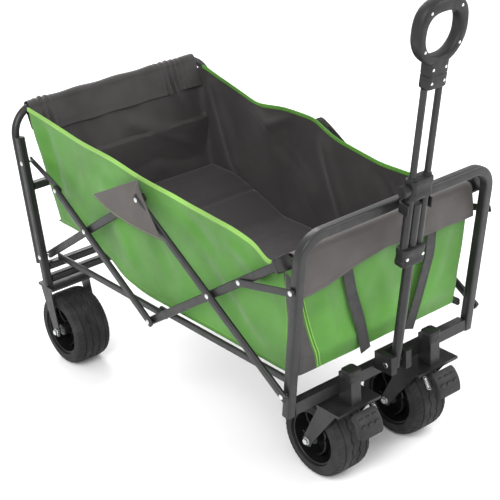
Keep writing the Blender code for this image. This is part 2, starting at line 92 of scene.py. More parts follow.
def add_lamp(name, place, target, size, power):
    """A square soft lamp that faces its target."""
    lamp = bpy.data.objects.new(name, bpy.data.lights.new(name, "AREA"))
    lamp.data.size = size
    lamp.data.energy = power
    away = Matrix.Translation(place).to_translation() - Matrix.Translation(target).to_translation()
    lamp.matrix_world = Matrix.Translation(place) @ away.to_track_quat("Z", "Y").to_matrix().to_4x4()
    bpy.context.collection.objects.link(lamp)


add_lamp("key_lamp", (-2.2, -1.6, 2.6), (0, 0, 0.35), 1.8, 95)
add_lamp("fill_lamp", (2.2, -2.0, 1.8), (0, 0, 0.3), 2.2, 55)
add_lamp("back_lamp", (0.8, 2.4, 2.4), (0, 0, 0.4), 1.8, 60)

world = bpy.data.worlds.new("studio")
world.use_nodes = True
world.node_tree.nodes["Background"].inputs["Color"].default_value = (1.0, 1.0, 1.0, 1.0)
world.node_tree.nodes["Background"].inputs["Strength"].default_value = 1.0
bpy.context.scene.world = world
bpy.context.scene.view_settings.view_transform = "Standard"

floor_mesh = bpy.data.meshes.new("studio_floor")
floor_mesh.from_pydata([(-8, -8, 0), (8, -8, 0), (8, 8, 0), (-8, 8, 0)], [], [(0, 1, 2, 3)])
studio_floor = bpy.data.objects.new("studio_floor", floor_mesh)
bpy.context.collection.objects.link(studio_floor)
floor_finish = bpy.data.materials.new("studio_floor")
floor_finish.use_nodes = True
floor_finish.node_tree.nodes["Principled BSDF"].inputs["Base Color"].default_value = (0.95, 0.95, 0.95, 1)
floor_finish.node_tree.nodes["Principled BSDF"].inputs["Roughness"].default_value = 0.7
floor_mesh.materials.append(floor_finish)

# ---------------------------------------------------------------------------------------------
# The end frames: a square-tube hoop in front, a round-tube hoop behind it all, the rear posts and
# the crossbars. All are mild steel tube, bent and welded, then powder-coated satin black.


class Wire:
    """A number in a material: arithmetic on it adds the Math nodes."""

    def __init__(self, finish, socket):
        self.finish = finish
        self.socket = socket

    def math(self, operation, *values):
        inputs = {index: value for index, value in enumerate(values)}
        return self.finish.node("ShaderNodeMath", {"operation": operation}, inputs, "Value")

    def __add__(self, other):
        return self.math("ADD", self, other)

    def __radd__(self, other):
        return self.math("ADD", other, self)

    def __sub__(self, other):
        return self.math("SUBTRACT", self, other)

    def __rsub__(self, other):
        return self.math("SUBTRACT", other, self)

    def __mul__(self, other):
        return self.math("MULTIPLY", self, other)

    def __rmul__(self, other):
        return self.math("MULTIPLY", other, self)


class Finish:
    """A procedural material: a Principled shader and the nodes that feed it."""

    def __init__(self, name, color, roughness, metallic=0.0, coat=0.0, sheen=0.0):
        self.material = bpy.data.materials.new(name)
        self.material.use_nodes = True
        self.tree = self.material.node_tree
        self.shader = self.tree.nodes["Principled BSDF"]
        self.shader.inputs["Base Color"].default_value = (*color, 1.0)
        self.shader.inputs["Roughness"].default_value = roughness
        self.shader.inputs["Metallic"].default_value = metallic
        self.shader.inputs["Coat Weight"].default_value = coat
        self.shader.inputs["Sheen Weight"].default_value = sheen
        if max(color) < 0.06:
            self.shader.inputs["Specular IOR Level"].default_value = 0.32

    def node(self, kind, settings, inputs, output):
        """Adds a node, sets it up, and gives back one of its outputs."""
        node = self.tree.nodes.new(kind)
        for name, value in settings.items():
            setattr(node, name, value)
        for name, value in inputs.items():
            if isinstance(value, Wire):
                self.tree.links.new(value.socket, node.inputs[name])
            else:
                node.inputs[name].default_value = value
        return Wire(self, node.outputs[output])

    def place(self):
        return self.node("ShaderNodeTexCoord", {}, {}, "Object")

    def noise(self, scale, detail=3.0, vector=None):
        inputs = {"Vector": vector or self.place(), "Scale": scale, "Detail": detail}
        return self.node("ShaderNodeTexNoise", {}, inputs, "Fac")

    def cells(self, scale):
        inputs = {"Vector": self.place(), "Scale": scale}
        return self.node("ShaderNodeTexVoronoi", {}, inputs, "Distance")

    def spread(self, value, low, high, to_low=0.0, to_high=1.0):
        """Stretches the values from low to high over another range, held at its ends."""
        inputs = {"Value": value, "From Min": low, "From Max": high, "To Min": to_low, "To Max": to_high}
        return self.node("ShaderNodeMapRange", {}, inputs, "Result")

    def axes(self, vector, *names):
        """The wanted parts of a vector, of X, Y and Z."""
        return [self.node("ShaderNodeSeparateXYZ", {}, {"Vector": vector}, name) for name in names]

    def blend(self, share, first, second):
        """A colour between two others."""
        settings = {"data_type": "RGBA"}
        colors = [value if isinstance(value, Wire) else (*value, 1.0) for value in (first, second)]
        return self.node("ShaderNodeMix", settings, {"Factor": share, 6: colors[0], 7: colors[1]}, 2)

    def feed(self, **wires):
        """Links wires to the shader: base_color, roughness or normal."""
        for name, wire in wires.items():
            self.tree.links.new(wire.socket, self.shader.inputs[name.replace("_", " ").title()])

    def bump(self, height, distance, strength=1.0):
        inputs = {"Height": height, "Distance": distance, "Strength": strength}
        self.feed(normal=self.node("ShaderNodeBump", {}, inputs, "Normal"))


def powder_coat(name="powder_coat", tone=0.011):
    """Satin black powder coat: a fine orange-peel skin, patchy gloss and a little dust."""
    finish = Finish(name, (tone, tone, tone * 1.05), 0.4, coat=0.1)
    dust = finish.spread(finish.noise(23.0, 5.0), 0.48, 0.72)
    light = (tone * 1.7, tone * 1.7, tone * 1.72)
    finish.feed(base_color=finish.blend(dust, (tone, tone, tone * 1.05), light))
    finish.feed(roughness=finish.spread(finish.noise(60.0, 4.0), 0.3, 0.7, 0.33, 0.50))
    finish.bump(finish.noise(1500.0, 2.0), 0.00012, 0.5)
    return finish.material


STEEL = powder_coat()


def grid_faces(rows, columns, close_rows=False, close_columns=True):
    """Four-cornered faces between the neighbours of a grid of points, row after row."""
    row = np.arange(rows if close_rows else rows - 1)[:, None]
    column = np.arange(columns if close_columns else columns - 1)[None, :]
    next_row = (row + 1) % rows
    next_column = (column + 1) % columns
    corners = (row * columns + column, row * columns + next_column,
               next_row * columns + next_column, next_row * columns + column)
    return np.stack(corners, axis=-1).reshape(-1, 4).tolist()


def swept(path, section, across=(1, 0, 0), scale=None):
    """Carries a section along a path. The section's first axis lies as near to across as the path
    allows, and its second is square to both. Flat caps close the ends."""
    path = np.array(path, float)
    section = np.array(section, float)
    scale = np.ones(len(path)) if scale is None else np.array(scale, float)
    tangent = np.gradient(path, axis=0)
    tangent /= np.linalg.norm(tangent, axis=1, keepdims=True)
    first = np.array(across, float) - tangent * (tangent @ np.array(across, float))[:, None]
    first /= np.linalg.norm(first, axis=1, keepdims=True)
    second = np.cross(tangent, first)
    sized = section[None, :, :] * scale[:, None, None]
    points = path[:, None, :] + sized[..., :1] * first[:, None, :] + sized[..., 1:] * second[:, None, :]
    count = len(section)
    faces = grid_faces(len(path), count)
    last = (len(path) - 1) * count
    faces += [list(range(count)), list(range(last, last + count))]
    return points.reshape(-1, 3), faces


def turned(profile, centre, axis, sides=48, closed=False):
    """Turns rows of (distance along, radius) about an axis. A radius of nought is a pole."""
    profile = np.array(profile, float)
    along = np.array(axis, float) / np.linalg.norm(axis)
    first = np.cross(along, (0.0, 0.0, 1.0) if abs(along[2]) < 0.9 else (1.0, 0.0, 0.0))
    first /= np.linalg.norm(first)
    second = np.cross(along, first)
    angle = np.linspace(0, 2 * math.pi, sides, endpoint=False)[:, None, None]
    spoke = first * np.cos(angle) + second * np.sin(angle)
    points = np.array(centre) + profile[None, :, :1] * along + profile[None, :, 1:] * spoke
    return points.reshape(-1, 3), grid_faces(sides, len(profile), True, closed)


def rounded_section(width, depth, radius, steps=5):
    """A tube's outline: four straight sides joined by quarter arcs."""
    quarter = np.linspace(0, math.pi / 2, steps + 1)
    arcs = []
    for turn_count, (x, y) in enumerate(((1, 1), (-1, 1), (-1, -1), (1, -1))):
        angle = quarter + turn_count * math.pi / 2
        middle = np.array((x * (width / 2 - radius), y * (depth / 2 - radius)))
        arcs.append(middle + radius * np.stack((np.cos(angle), np.sin(angle)), axis=1))
    return np.concatenate(arcs)


def round_section(radius, sides=24):
    """A round outline: points at even angles."""
    angle = np.linspace(0, 2 * math.pi, sides, endpoint=False)
    return radius * np.stack((np.cos(angle), np.sin(angle)), axis=1)


def add_piece(name, shapes, finish, body, replaces=(), sharp=35):
    """Joins closed shapes into one object with outward faces, and hands it to its body."""
    points, faces, offset = [], [], 0
    for shape_points, shape_faces in shapes:
        points.append(shape_points)
        faces += [[corner + offset for corner in face] for face in shape_faces]
        offset += len(shape_points)
    mesh = bpy.data.meshes.new(name)
    mesh.from_pydata(np.concatenate(points).tolist(), [], faces)
    shape = bmesh.new()
    shape.from_mesh(mesh)
    bmesh.ops.remove_doubles(shape, verts=shape.verts, dist=1e-6)
    bmesh.ops.recalc_face_normals(shape, faces=shape.faces)
    shape.to_mesh(mesh)
    shape.free()
    mesh.shade_smooth()
    mesh.set_sharp_from_angle(angle=math.radians(sharp))
    mesh.materials.append(finish)
    piece = bpy.data.objects.new(name, mesh)
    bpy.context.collection.objects.link(piece)
    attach(piece, body)
    for node in replaces:
        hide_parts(node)
    return piece


def hoop_path(low, high, half_width, top, bend):
    """Up one leg, round a quarter bend, across the top and down the other leg. The two ends of the
    leaning plane, low and high, are (y, z) points."""
    quarter = np.linspace(0, math.pi / 2, 15)
    leg = np.linspace(low[1], top - bend, 8)[:-1]
    x = np.concatenate((np.full(7, half_width), half_width - bend + bend * np.cos(quarter)))
    z = np.concatenate((leg, top - bend + bend * np.sin(quarter)))
    x = np.concatenate((x, np.linspace(half_width - bend, 0, 8)[1:]))
    z = np.concatenate((z, np.full(7, top)))
    x = np.concatenate((x, -x[-2::-1]))
    z = np.concatenate((z, z[-2::-1]))
    y = np.interp(z, (low[1], high[1]), (low[0], high[0]))
    return np.stack((x, y, z), axis=1)


def plane_of(node, tube):
    """The lowest and highest (y, z) of a leaning hoop's middle line, from its box."""
    low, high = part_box(node)
    near_front = low[1] < -0.2
    bottom_y = high[1] - tube / 2 if near_front else low[1] + tube / 2
    top_y = low[1] + tube / 2 if near_front else high[1] - tube / 2
    return (bottom_y, low[2]), (top_y, high[2] - tube / 2)


FRONT_TUBE = 0.020
REAR_TUBE = 0.018
front_low, front_high = plane_of("front_u_tube", FRONT_TUBE)
rear_low, rear_high = plane_of("rear_u_tube", REAR_TUBE)
front_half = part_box("front_u_tube")[1][0] - FRONT_TUBE / 2
rear_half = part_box("rear_post_right")[1][0] - REAR_TUBE / 2

front_hoop_path = hoop_path(front_low, front_high, front_half, front_high[1], 0.048)
add_piece("front_hoop", [swept(front_hoop_path, rounded_section(0.0198, 0.0198, 0.0042), (0, 1, 0))],
          STEEL, "front_frame", ["front_u_tube"])
rear_hoop_path = hoop_path(rear_low, rear_high, rear_half, rear_high[1], 0.062)
add_piece("rear_hoop", [swept(rear_hoop_path, round_section(REAR_TUBE / 2 - 0.0001), (0, 1, 0))],
          STEEL, "rear_frame", ["rear_u_tube"])


def straight_tube(node, body, depth, radius=0.0035):
    """A square tube along X that fills its node's box."""
    low, high = (np.array(corner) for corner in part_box(node))
    middle = (low + high) / 2
    x = np.linspace(low[0], high[0], 9)
    path = np.stack((x, np.full(9, middle[1]), np.full(9, middle[2])), axis=1)
    add_piece(f"{node}_tube", [swept(path, rounded_section(depth, depth, radius), (0, 1, 0))],
              STEEL, body, [node])


for node in ("rear_crossbar_low", "rear_crossbar_floor", "rear_crossbar_middle"):
    straight_tube(node, "rear_frame", 0.0178)

for node in ("front_crossbar", "rear_bracket_left", "rear_bracket_right",
             "rear_post_left", "rear_post_right"):
    frame["nodes"][node].data.materials.clear()
    frame["nodes"][node].data.materials.append(STEEL)

# ---------------------------------------------------------------------------------------------
# The scissor bars, steadying links and floor bars: flat-oval steel bar with rounded ends. Zinc
# rivets hold each crossing, and moulded connectors carry the front rail between the rail bars.

joint = {row["name"]: np.array(row["pos_m"]) for row in frame["joints"] if "pos_m" in row}
ZINC = Finish("zinc", (0.62, 0.63, 0.64), 0.28, metallic=1.0)
ZINC.feed(roughness=ZINC.spread(ZINC.noise(400.0, 4.0), 0.3, 0.7, 0.2, 0.42))
ZINC.bump(ZINC.noise(900.0, 2.0), 0.0001, 0.4)


def bar_line(node, pivot, depth):
    """The two end points of a slanted bar's middle line, from its box and a pivot on the line."""
    low, high = (np.array(corner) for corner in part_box(node))
    middle = (low + high) / 2
    lean = (middle - pivot) * (0, 1, 1)
    lean /= np.linalg.norm(lean)
    half = (high[1] - low[1] - depth * abs(lean[2])) / 2 / abs(lean[1])
    return middle - half * lean, middle + half * lean


def rounded_bar(ends, thickness, depth, nose=0.004):
    """A bar whose section shrinks over the last few millimetres of each end."""
    start, end = ends
    length = np.linalg.norm(end - start)
    reach = nose * np.array((0.0, 0.15, 0.45, 1.0)) / length
    share = np.concatenate((reach, np.linspace(0.1, 0.9, 5), 1 - reach[::-1]))
    scale = np.concatenate(((0.70, 0.86, 0.96, 1.0), np.ones(5), (1.0, 0.96, 0.86, 0.70)))
    path = start + share[:, None] * (end - start)
    return swept(path, rounded_section(thickness, depth, thickness * 0.44), (1, 0, 0), scale)


BARS = (("lift_bar", "frame_fold", "lift_bars", 0.0088, 0.018),
        ("lower_rear_bar", "crossing_rear", "lower_rear_bars", 0.0088, 0.018),
        ("front_bar", "top_pivot", "front_bars", 0.0088, 0.018),
        ("rail_bar", "crossing_front", "rail_bars", 0.0088, 0.018),
        ("rear_link", "rear_link_pivot", "rear_links", 0.0029, 0.015),
        ("front_link", "front_link_pivot", "front_links", 0.0029, 0.015),
        ("floor_bar_rear", "rear_floor_pivot", "rear_floor_bars", 0.0078, 0.016),
        ("floor_bar_front", "front_floor_pivot", "front_floor_bars", 0.0078, 0.016))
for kind, pivot, body, thickness, depth in BARS:
    for side in ("left", "right"):
        ends = bar_line(f"{kind}_{side}", joint[pivot], depth)
        add_piece(f"{kind}_{side}_oval", [rounded_bar(ends, thickness, depth - 0.0002)],
                  STEEL, body, [f"{kind}_{side}"])


def rivet(place, inner, outer, sign, head=0.0052):
    """A shank through the bars with a low domed head on the outside."""
    rows = ((inner, 0), (inner, 0.003), (outer, 0.003), (outer, head), (outer + 0.0008, head),
            (outer + 0.0017, head * 0.72), (outer + 0.0021, head * 0.35), (outer + 0.0022, 0))
    return turned(rows, (0, place[1], place[2]), (sign, 0, 0), 20)


top = joint["top_pivot"]
crossing = joint["crossing_rear"]
low_pivot = np.array((0, top[1], 2 * crossing[2] - top[2]))
link_ends = {}
for kind, pivot in (("rear_link", "rear_link_pivot"), ("front_link", "front_link_pivot")):
    ends = bar_line(f"{kind}_left", joint[pivot], 0.015)
    far = max(ends, key=lambda end: np.linalg.norm((end - joint[pivot])[1:]))
    near = min(ends, key=lambda end: np.linalg.norm((end - joint[pivot])[1:]))
    link_ends[kind] = far + 0.008 * (near - far) / np.linalg.norm(near - far)
RIVETS = (("crossing_rear", crossing, 0.244, 0.2619, "lower_rear_bars"),
          ("crossing_front", joint["crossing_front"], 0.244, 0.2619, "front_bars"),
          ("top", top, 0.244, 0.2619, "front_bars"),
          ("low", low_pivot, 0.244, 0.2619, "lower_rear_bars"),
          ("rear_post", joint["frame_fold"], 0.244, 0.2769, "rear_frame"),
          ("front_post", joint["front_post_pivot"], 0.242, 0.2619, "front_bars"),
          ("rear_link_top", joint["rear_link_pivot"], 0.249, 0.2769, "rear_frame"),
          ("rear_link_end", link_ends["rear_link"], 0.249, 0.2619, "lower_rear_bars"),
          ("front_link_top", joint["front_link_pivot"], 0.242, 0.2566, "front_links"),
          ("front_link_end", link_ends["front_link"], 0.244, 0.2566, "front_links"))
for name, place, inner, outer, body in RIVETS:
    shapes = [rivet(place, inner, outer, sign) for sign in (-1, 1)]
    add_piece(f"rivet_{name}", shapes, ZINC.material, body)


def moulded_plastic(name, tone=0.009, roughness=0.5):
    """Moulded black nylon: a fine spark-eroded grain and slightly uneven gloss."""
    finish = Finish(name, (tone, tone, tone), roughness)
    scuff = finish.spread(finish.noise(35.0, 5.0), 0.5, 0.75)
    finish.feed(base_color=finish.blend(scuff, (tone, tone, tone), (tone * 1.8,) * 3))
    finish.feed(roughness=finish.spread(finish.noise(90.0), 0.3, 0.7, roughness - 0.08, roughness + 0.1))
    finish.bump(finish.cells(1400.0), 0.00015, 0.6)
    return finish.material


NYLON = moulded_plastic("black_nylon")
rail_low, rail_high = (np.array(corner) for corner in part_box("front_rail"))
rail_axis = (rail_low + rail_high) / 2
for side in ("left", "right"):
    start, end = bar_line(f"rail_bar_{side}", joint["crossing_front"], 0.018)
    lean = (end - start) / np.linalg.norm(end - start)
    low, high = (np.array(corner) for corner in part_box(f"rail_connector_{side}"))
    steps = np.array((-15, -14.4, -13, -8, -7.2, 7.2, 8, 13, 14.4, 15)) / 1000
    scale = (0.84, 0.94, 0.985, 0.985, 0.92, 0.92, 0.985, 0.985, 0.94, 0.84)
    outline = rounded_section(0.0218, 0.0296, 0.006)
    block = swept((low + high) / 2 + steps[:, None] * lean, outline, (1, 0, 0), scale)
    add_piece(f"rail_connector_{side}_block", [block], NYLON, "rail_bars",
              [f"rail_connector_{side}"])
x = np.linspace(rail_low[0], rail_high[0], 9)[:, None]
rail_path = x * (1, 0, 0) + rail_axis * (0, 1, 1)
add_piece("front_rail_tube", [swept(rail_path, round_section(0.0079), (0, 1, 0))], STEEL, "rail_bars",
          ["front_rail"])

# ---------------------------------------------------------------------------------------------
# The wheels: wide foam-filled tyres with waved grooves round the tread and small lugs on the
# shoulders, on deep moulded rims with six curved spokes, each turning on a zinc bolt.


def rubber():
    """Dull black tyre rubber, dusty on the high spots."""
    finish = Finish("tyre_rubber", (0.02, 0.02, 0.021), 0.78)
    dust = finish.spread(finish.noise(30.0, 6.0), 0.42, 0.75)
    finish.feed(base_color=finish.blend(dust, (0.010, 0.010, 0.0105), (0.026, 0.0255, 0.025)))
    finish.feed(roughness=finish.spread(finish.noise(14.0), 0.3, 0.7, 0.68, 0.86))
    finish.bump(finish.noise(700.0, 4.0), 0.0003, 0.6)
    return finish.material


RUBBER = rubber()
RIM_PLASTIC = moulded_plastic("rim_plastic", 0.007, 0.34)


def tyre_surface(centre, radius, bore, half_width):
    """A flat-crowned ring. Four waved grooves run round the tread, slanted lugs stand on both
    shoulders, and a fine step marks the sidewall. All are offsets along the ring's own normal."""
    phase = np.linspace(0.0, math.pi, 2001)
    side = -half_width * np.sign(np.cos(phase)) * np.abs(np.cos(phase)) ** 0.42
    rise = bore + (radius - bore) * np.sin(phase) ** 0.5
    length = np.concatenate(([0], np.cumsum(np.hypot(np.diff(side), np.diff(rise)))))
    even = np.linspace(0, length[-1], 168)
    side, rise = np.interp(even, length, side), np.interp(even, length, rise)
    normal = np.stack((-np.gradient(rise), np.gradient(side)), axis=1)
    normal /= np.linalg.norm(normal, axis=1, keepdims=True)
    angle = np.linspace(0, 2 * math.pi, 340, endpoint=False)[:, None]
    waved = side + 0.0016 * np.tanh(2 * np.sin(20 * angle)) * (np.abs(side) < 0.018)
    offset = np.zeros_like(waved)
    for groove in (-0.0265, -0.009, 0.009, 0.0265):
        offset -= 0.0032 * np.exp(-((waved - groove) / 0.0014) ** 4)
    tread = np.clip((rise - radius + 0.010) / 0.004, 0, 1)
    for shoulder in (-1, 1):
        edge = np.exp(-((side - shoulder * (half_width - 0.0055)) / 0.0062) ** 2) * tread
        lugs = np.tanh(3 * np.sin(46 * angle + shoulder * 500 * (radius - rise)))
        offset += 0.0011 * (lugs - 1) * edge
    crown = np.exp(-(side / 0.005) ** 2) * tread
    offset -= 0.0004 * (1 - np.tanh(3 * np.sin(52 * angle + 300 * side))) * crown
    offset -= 0.0006 * np.exp(-((rise - bore - 0.010) / 0.0012) ** 2) * (np.abs(side) > half_width * 0.9)
    along = side + offset * normal[:, 0]
    reach = rise + offset * normal[:, 1]
    points = np.stack((centre[0] + along, centre[1] + reach * np.cos(angle),
                       centre[2] + reach * np.sin(angle)), axis=-1)
    return points.reshape(-1, 3), grid_faces(340, 168, True, True)


def spoke(centre, start_angle, hub, rim):
    """A deep blade that leaves the hub squarely and sweeps round as it reaches the rim."""
    reach = np.linspace(hub, rim, 12)
    angle = start_angle + 0.75 * ((reach - hub) / (rim - hub)) ** 1.5
    path = np.stack((np.full(12, centre[0]), centre[1] + reach * np.cos(angle),
                     centre[2] + reach * np.sin(angle)), axis=1)
    return swept(path, rounded_section(0.036, 0.0052, 0.002, 3), (1, 0, 0), np.linspace(0.8, 1.05, 12))


def rim_shapes(centre, bore):
    """A barrel with rolled lips, a web across it, a stepped hub and six spokes."""
    lip = bore - 0.0005
    barrel = [(-0.037, lip - 0.0045), (-0.0385, lip - 0.003), (-0.0385, lip - 0.001), (-0.037, lip),
              (0.037, lip), (0.0385, lip - 0.001), (0.0385, lip - 0.003), (0.037, lip - 0.0045),
              (0.033, lip - 0.0035), (-0.033, lip - 0.0035)]
    hub = [(-0.040, 0), (-0.040, 0.0115), (-0.038, 0.0135), (-0.020, 0.0140), (-0.018, 0.0165),
           (0.018, 0.0165), (0.020, 0.0140), (0.038, 0.0135), (0.040, 0.0115), (0.040, 0)]
    blades = [spoke(centre, k * math.pi / 3, 0.014, lip - 0.002) for k in range(6)]
    web = [(-0.0035, 0.014), (-0.002, lip - 0.004), (0.002, lip - 0.004), (0.0035, 0.014)]
    rings = [turned(barrel, centre, (1, 0, 0), 72, True), turned(web, centre, (1, 0, 0), 72, True)]
    return [*rings, turned(hub, centre, (1, 0, 0), 36), *blades]


def bolt_shapes(centre, reach):
    """A shank with a washer and a six-sided head at each end."""
    shank = turned([(-reach, 0), (-reach, 0.0039), (reach, 0.0039), (reach, 0)], centre, (1, 0, 0), 20)
    shapes = [shank]
    for sign in (-1, 1):
        base = reach - 0.0066
        washer = [(base, 0.0), (base, 0.0079), (base + 0.0012, 0.0079), (base + 0.0012, 0.0)]
        head = [(base + 0.0012, 0.0), (base + 0.0012, 0.0066), (base + 0.0056, 0.0066),
                (base + 0.0064, 0.0056), (base + 0.0064, 0.0)]
        shapes.append(turned(washer, centre, (sign, 0, 0), 24))
        shapes.append(turned(head, centre, (sign, 0, 0), 6))
    return shapes


for end in ("rear", "front"):
    for side in ("left", "right"):
        wheel = f"{end}_wheel_{side}"
        low, high = (np.array(corner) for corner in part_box(f"{wheel}_tyre"))
        centre, radius = (low + high) / 2, (high[2] - low[2]) / 2
        bolt_low, bolt_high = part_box(f"{wheel}_axle")
        carrier = "rear_frame" if end == "rear" else f"caster_{side}"
        tyre = tyre_surface(centre, radius, 0.0585, (high[0] - low[0]) / 2)
        add_piece(f"{wheel}_tread", [tyre], RUBBER, wheel, [f"{wheel}_tyre"], 60)
        add_piece(f"{wheel}_spoked_rim", rim_shapes(centre, 0.0585), RIM_PLASTIC, wheel,
                  [f"{wheel}_rim"])
        add_piece(f"{wheel}_bolt", bolt_shapes(centre, (bolt_high[0] - bolt_low[0]) / 2), ZINC.material,
                  carrier, [f"{wheel}_axle"])

# ---------------------------------------------------------------------------------------------
# The casters: pressed forks under the front crossbar, each with a moulded cap on its stud, a foot
# brake with raised tread pads, and a small zinc return spring beside the brake.

for side, sign in (("left", -1), ("right", 1)):
    frame["nodes"][f"caster_fork_{side}"].data.materials.clear()
    frame["nodes"][f"caster_fork_{side}"].data.materials.append(STEEL)
    stem = joint[f"caster_{side}_swivel"]
    lift = np.array((0.0, 0.0006, 0.002, 0.0075, 0.0095, 0.0105))
    path = stem * (1, 1, 0) + (0, 0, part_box("front_crossbar")[1][2] + 0.0004) + lift[:, None] * (0, 0, 1)
    scale = (0.94, 0.98, 1.0, 1.0, 0.96, 0.86)
    cap = [swept(path, rounded_section(0.031, 0.031, 0.007), (1, 0, 0), scale)]
    skirt = path[0] - np.array((0.0, 0.0015, 0.012, 0.014))[:, None] * (0, 0, 1)
    cap.append(swept(skirt, rounded_section(0.0285, 0.0285, 0.004), (1, 0, 0), (1, 1, 1, 0.97)))
    add_piece(f"stud_cap_{side}", cap, NYLON, "front_frame")

    low, high = (np.array(corner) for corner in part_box(f"brake_pedal_{side}"))
    hinge = joint[f"brake_{side}"]
    bend = np.linspace(0, 1, 9)
    outer_y = hinge[1] - 0.004 - 0.0255 * np.sin(bend * math.pi / 2) ** 0.9
    outer_z = high[2] - 0.001 - (high[2] - low[2] - 0.003) * bend ** 1.35
    inner_y = np.interp(bend, (0, 0.35, 1), (hinge[1] + 0.002, hinge[1] - 0.011, low[1] + 0.0115))
    inner_z = np.interp(bend, (0, 0.35, 1), (hinge[2] - 0.004, hinge[2] - 0.012, low[2] + 0.001))
    outline = np.concatenate((np.stack((outer_y, outer_z), 1), np.stack((inner_y, inner_z), 1)[::-1]))
    middle = outline.mean(axis=0)
    reach = np.array((-30, -29.4, -27.5, -24, -12, 0, 12, 24, 27.5, 29.4, 30)) / 1000
    pedal_path = np.stack((stem[0] + reach, np.full(11, middle[0]), np.full(11, middle[1])), axis=1)
    swell = (0.80, 0.89, 0.96, 1, 1, 1, 1, 1, 0.96, 0.89, 0.80)
    shapes = [swept(pedal_path, outline - middle, (0, 1, 0), swell)]
    for pad_x in (-0.017, 0.0, 0.017):
        for share, tall in ((0.30, 0.006), (0.62, 0.012)):
            index = share * 8
            pad_y = np.interp(index, np.arange(9), outer_y) + 0.0004
            pad_z = np.interp(index, np.arange(9), outer_z)
            rise = np.array((0.0012, 0, -0.0005, -0.0013))[:, None] * (0, 1, 0)
            pad = np.array((stem[0] + pad_x, pad_y, pad_z)) + rise
            shapes.append(swept(pad, rounded_section(0.011, tall, 0.002, 3), (1, 0, 0), (1, 1, 0.98, 0.86)))
    add_piece(f"brake_pedal_{side}_moulding", shapes, NYLON, f"pedal_{side}",
              [f"brake_pedal_{side}"])

    turn_angle = np.linspace(0, 2 * math.pi * 7, 112)
    run = np.linspace(0, 1, 112)
    coil = np.stack((stem[0] - sign * 0.037 + 0.0036 * np.cos(turn_angle),
                     hinge[1] + 0.006 + 0.0036 * np.sin(turn_angle) - 0.012 * run,
                     hinge[2] - 0.004 - 0.022 * run), axis=1)
    add_piece(f"brake_spring_{side}", [swept(coil, round_section(0.0007, 6), (1, 0, 0))], ZINC.material,
              f"caster_{side}")

# ---------------------------------------------------------------------------------------------
# The handle: a centre tube on the pivot bracket, a sleeve pair between two moulded clamps that
# slides on it, and two rods that slide in the sleeves and carry the D grip.

slope = next(row["axis"] for row in frame["joints"] if row["name"] == "handle_sleeve_slide")
slope = np.array(slope)
forward = np.array((0.0, -slope[2], slope[1]))


def on_handle(height, x=0.0, ahead=0.0):
    """A point at a height up the handle, to one side and ahead of its plane."""
    return joint["handle_pitch"] + height * slope + ahead * forward + (x, 0, 0)


def span_up(node):
    """How far up the handle a node begins and ends, from its mesh."""
    points = np.array([vertex.co for vertex in frame["nodes"][node].data.vertices])
    reach = (points - joint["handle_pitch"]) @ slope
    return reach.min(), reach.max()


def up_handle(heights, x=0.0):
    """Points up the handle, at each height and to one side."""
    return np.array([on_handle(height, x) for height in heights])


def ring_up(node, x, inner, outer, name, body):
    """A thin tube with eased edges that stands up the handle."""
    start, end = span_up(node)
    length = end - start
    rows = ((0, inner), (0, outer - 0.0005), (0.0005, outer), (length - 0.0005, outer),
            (length, outer - 0.0005), (length, inner))
    add_piece(name, [turned(rows, on_handle(start, x), slope, 28, True)], STEEL, body, [node])


frame["nodes"]["handle_bracket"].data.materials.clear()
frame["nodes"]["handle_bracket"].data.materials.append(NYLON)
pivot_rows = ((-0.0285, 0), (-0.0285, 0.0055), (-0.0275, 0.0062), (-0.0272, 0.0062), (-0.0272, 0.0035),
              (0.0272, 0.0035), (0.0272, 0.0062), (0.0275, 0.0062), (0.0285, 0.0055), (0.0285, 0))
add_piece("handle_pivot_bolt", [turned(pivot_rows, joint["handle_pitch"], (1, 0, 0), 20)], ZINC.material,
          "front_frame")

start, end = span_up("handle_centre_tube")
centre_tube = swept(up_handle(np.linspace(start, end, 6)), round_section(0.0099, 32), (1, 0, 0))
add_piece("centre_tube", [centre_tube], STEEL, "handle_lower", ["handle_centre_tube"])
for side, sign in (("left", -1), ("right", 1)):
    x = sign * 0.0185
    ring_up(f"handle_outer_tube_{side}", x, 0.0070, 0.0081, f"outer_tube_{side}", "handle_middle")
    start, end = span_up(f"handle_rod_{side}")
    rod = swept(up_handle(np.linspace(start, end, 6), x), round_section(0.0063, 26), (1, 0, 0))
    add_piece(f"rod_{side}", [rod], STEEL, "handle_upper", [f"handle_rod_{side}"])


def collar(node, width, depth, radius, name):
    """A moulded block with a raised lip at each end and a shallow waist between."""
    start, end = span_up(node)
    length = end - start
    steps = np.array((0, 0.02, 0.08, 0.26, 0.30, 0.70, 0.74, 0.92, 0.98, 1.0))
    scale = (0.92, 0.965, 0.99, 0.99, 0.945, 0.945, 0.99, 0.99, 0.965, 0.92)
    outline = rounded_section(width, depth, radius, 6)
    body = swept(up_handle(start + length * steps), outline, (1, 0, 0), scale)
    add_piece(name, [body], NYLON, "handle_middle", [node])


collar("handle_lower_clamp", 0.058, 0.030, 0.010, "lower_clamp")
collar("handle_upper_clamp", 0.056, 0.028, 0.010, "upper_clamp")
top_of_clamp = span_up("handle_upper_clamp")[1]
necks = []
for sign in (-1, 1):
    rows = ((-0.004, 0.0067), (-0.004, 0.0084), (0.0035, 0.0084), (0.0045, 0.0078), (0.0045, 0.0067))
    necks.append(turned(rows, on_handle(top_of_clamp, sign * 0.0185), slope, 28, True))
add_piece("clamp_necks", necks, NYLON, "handle_middle")


def screw(place, size=0.0027):
    """A pan head on the front of the handle."""
    rows = ((-0.003, 0), (-0.003, size), (0.0004, size), (0.0010, size * 0.75), (0.0012, size * 0.3),
            (0.0012, 0))
    return turned(rows, place, forward, 16)


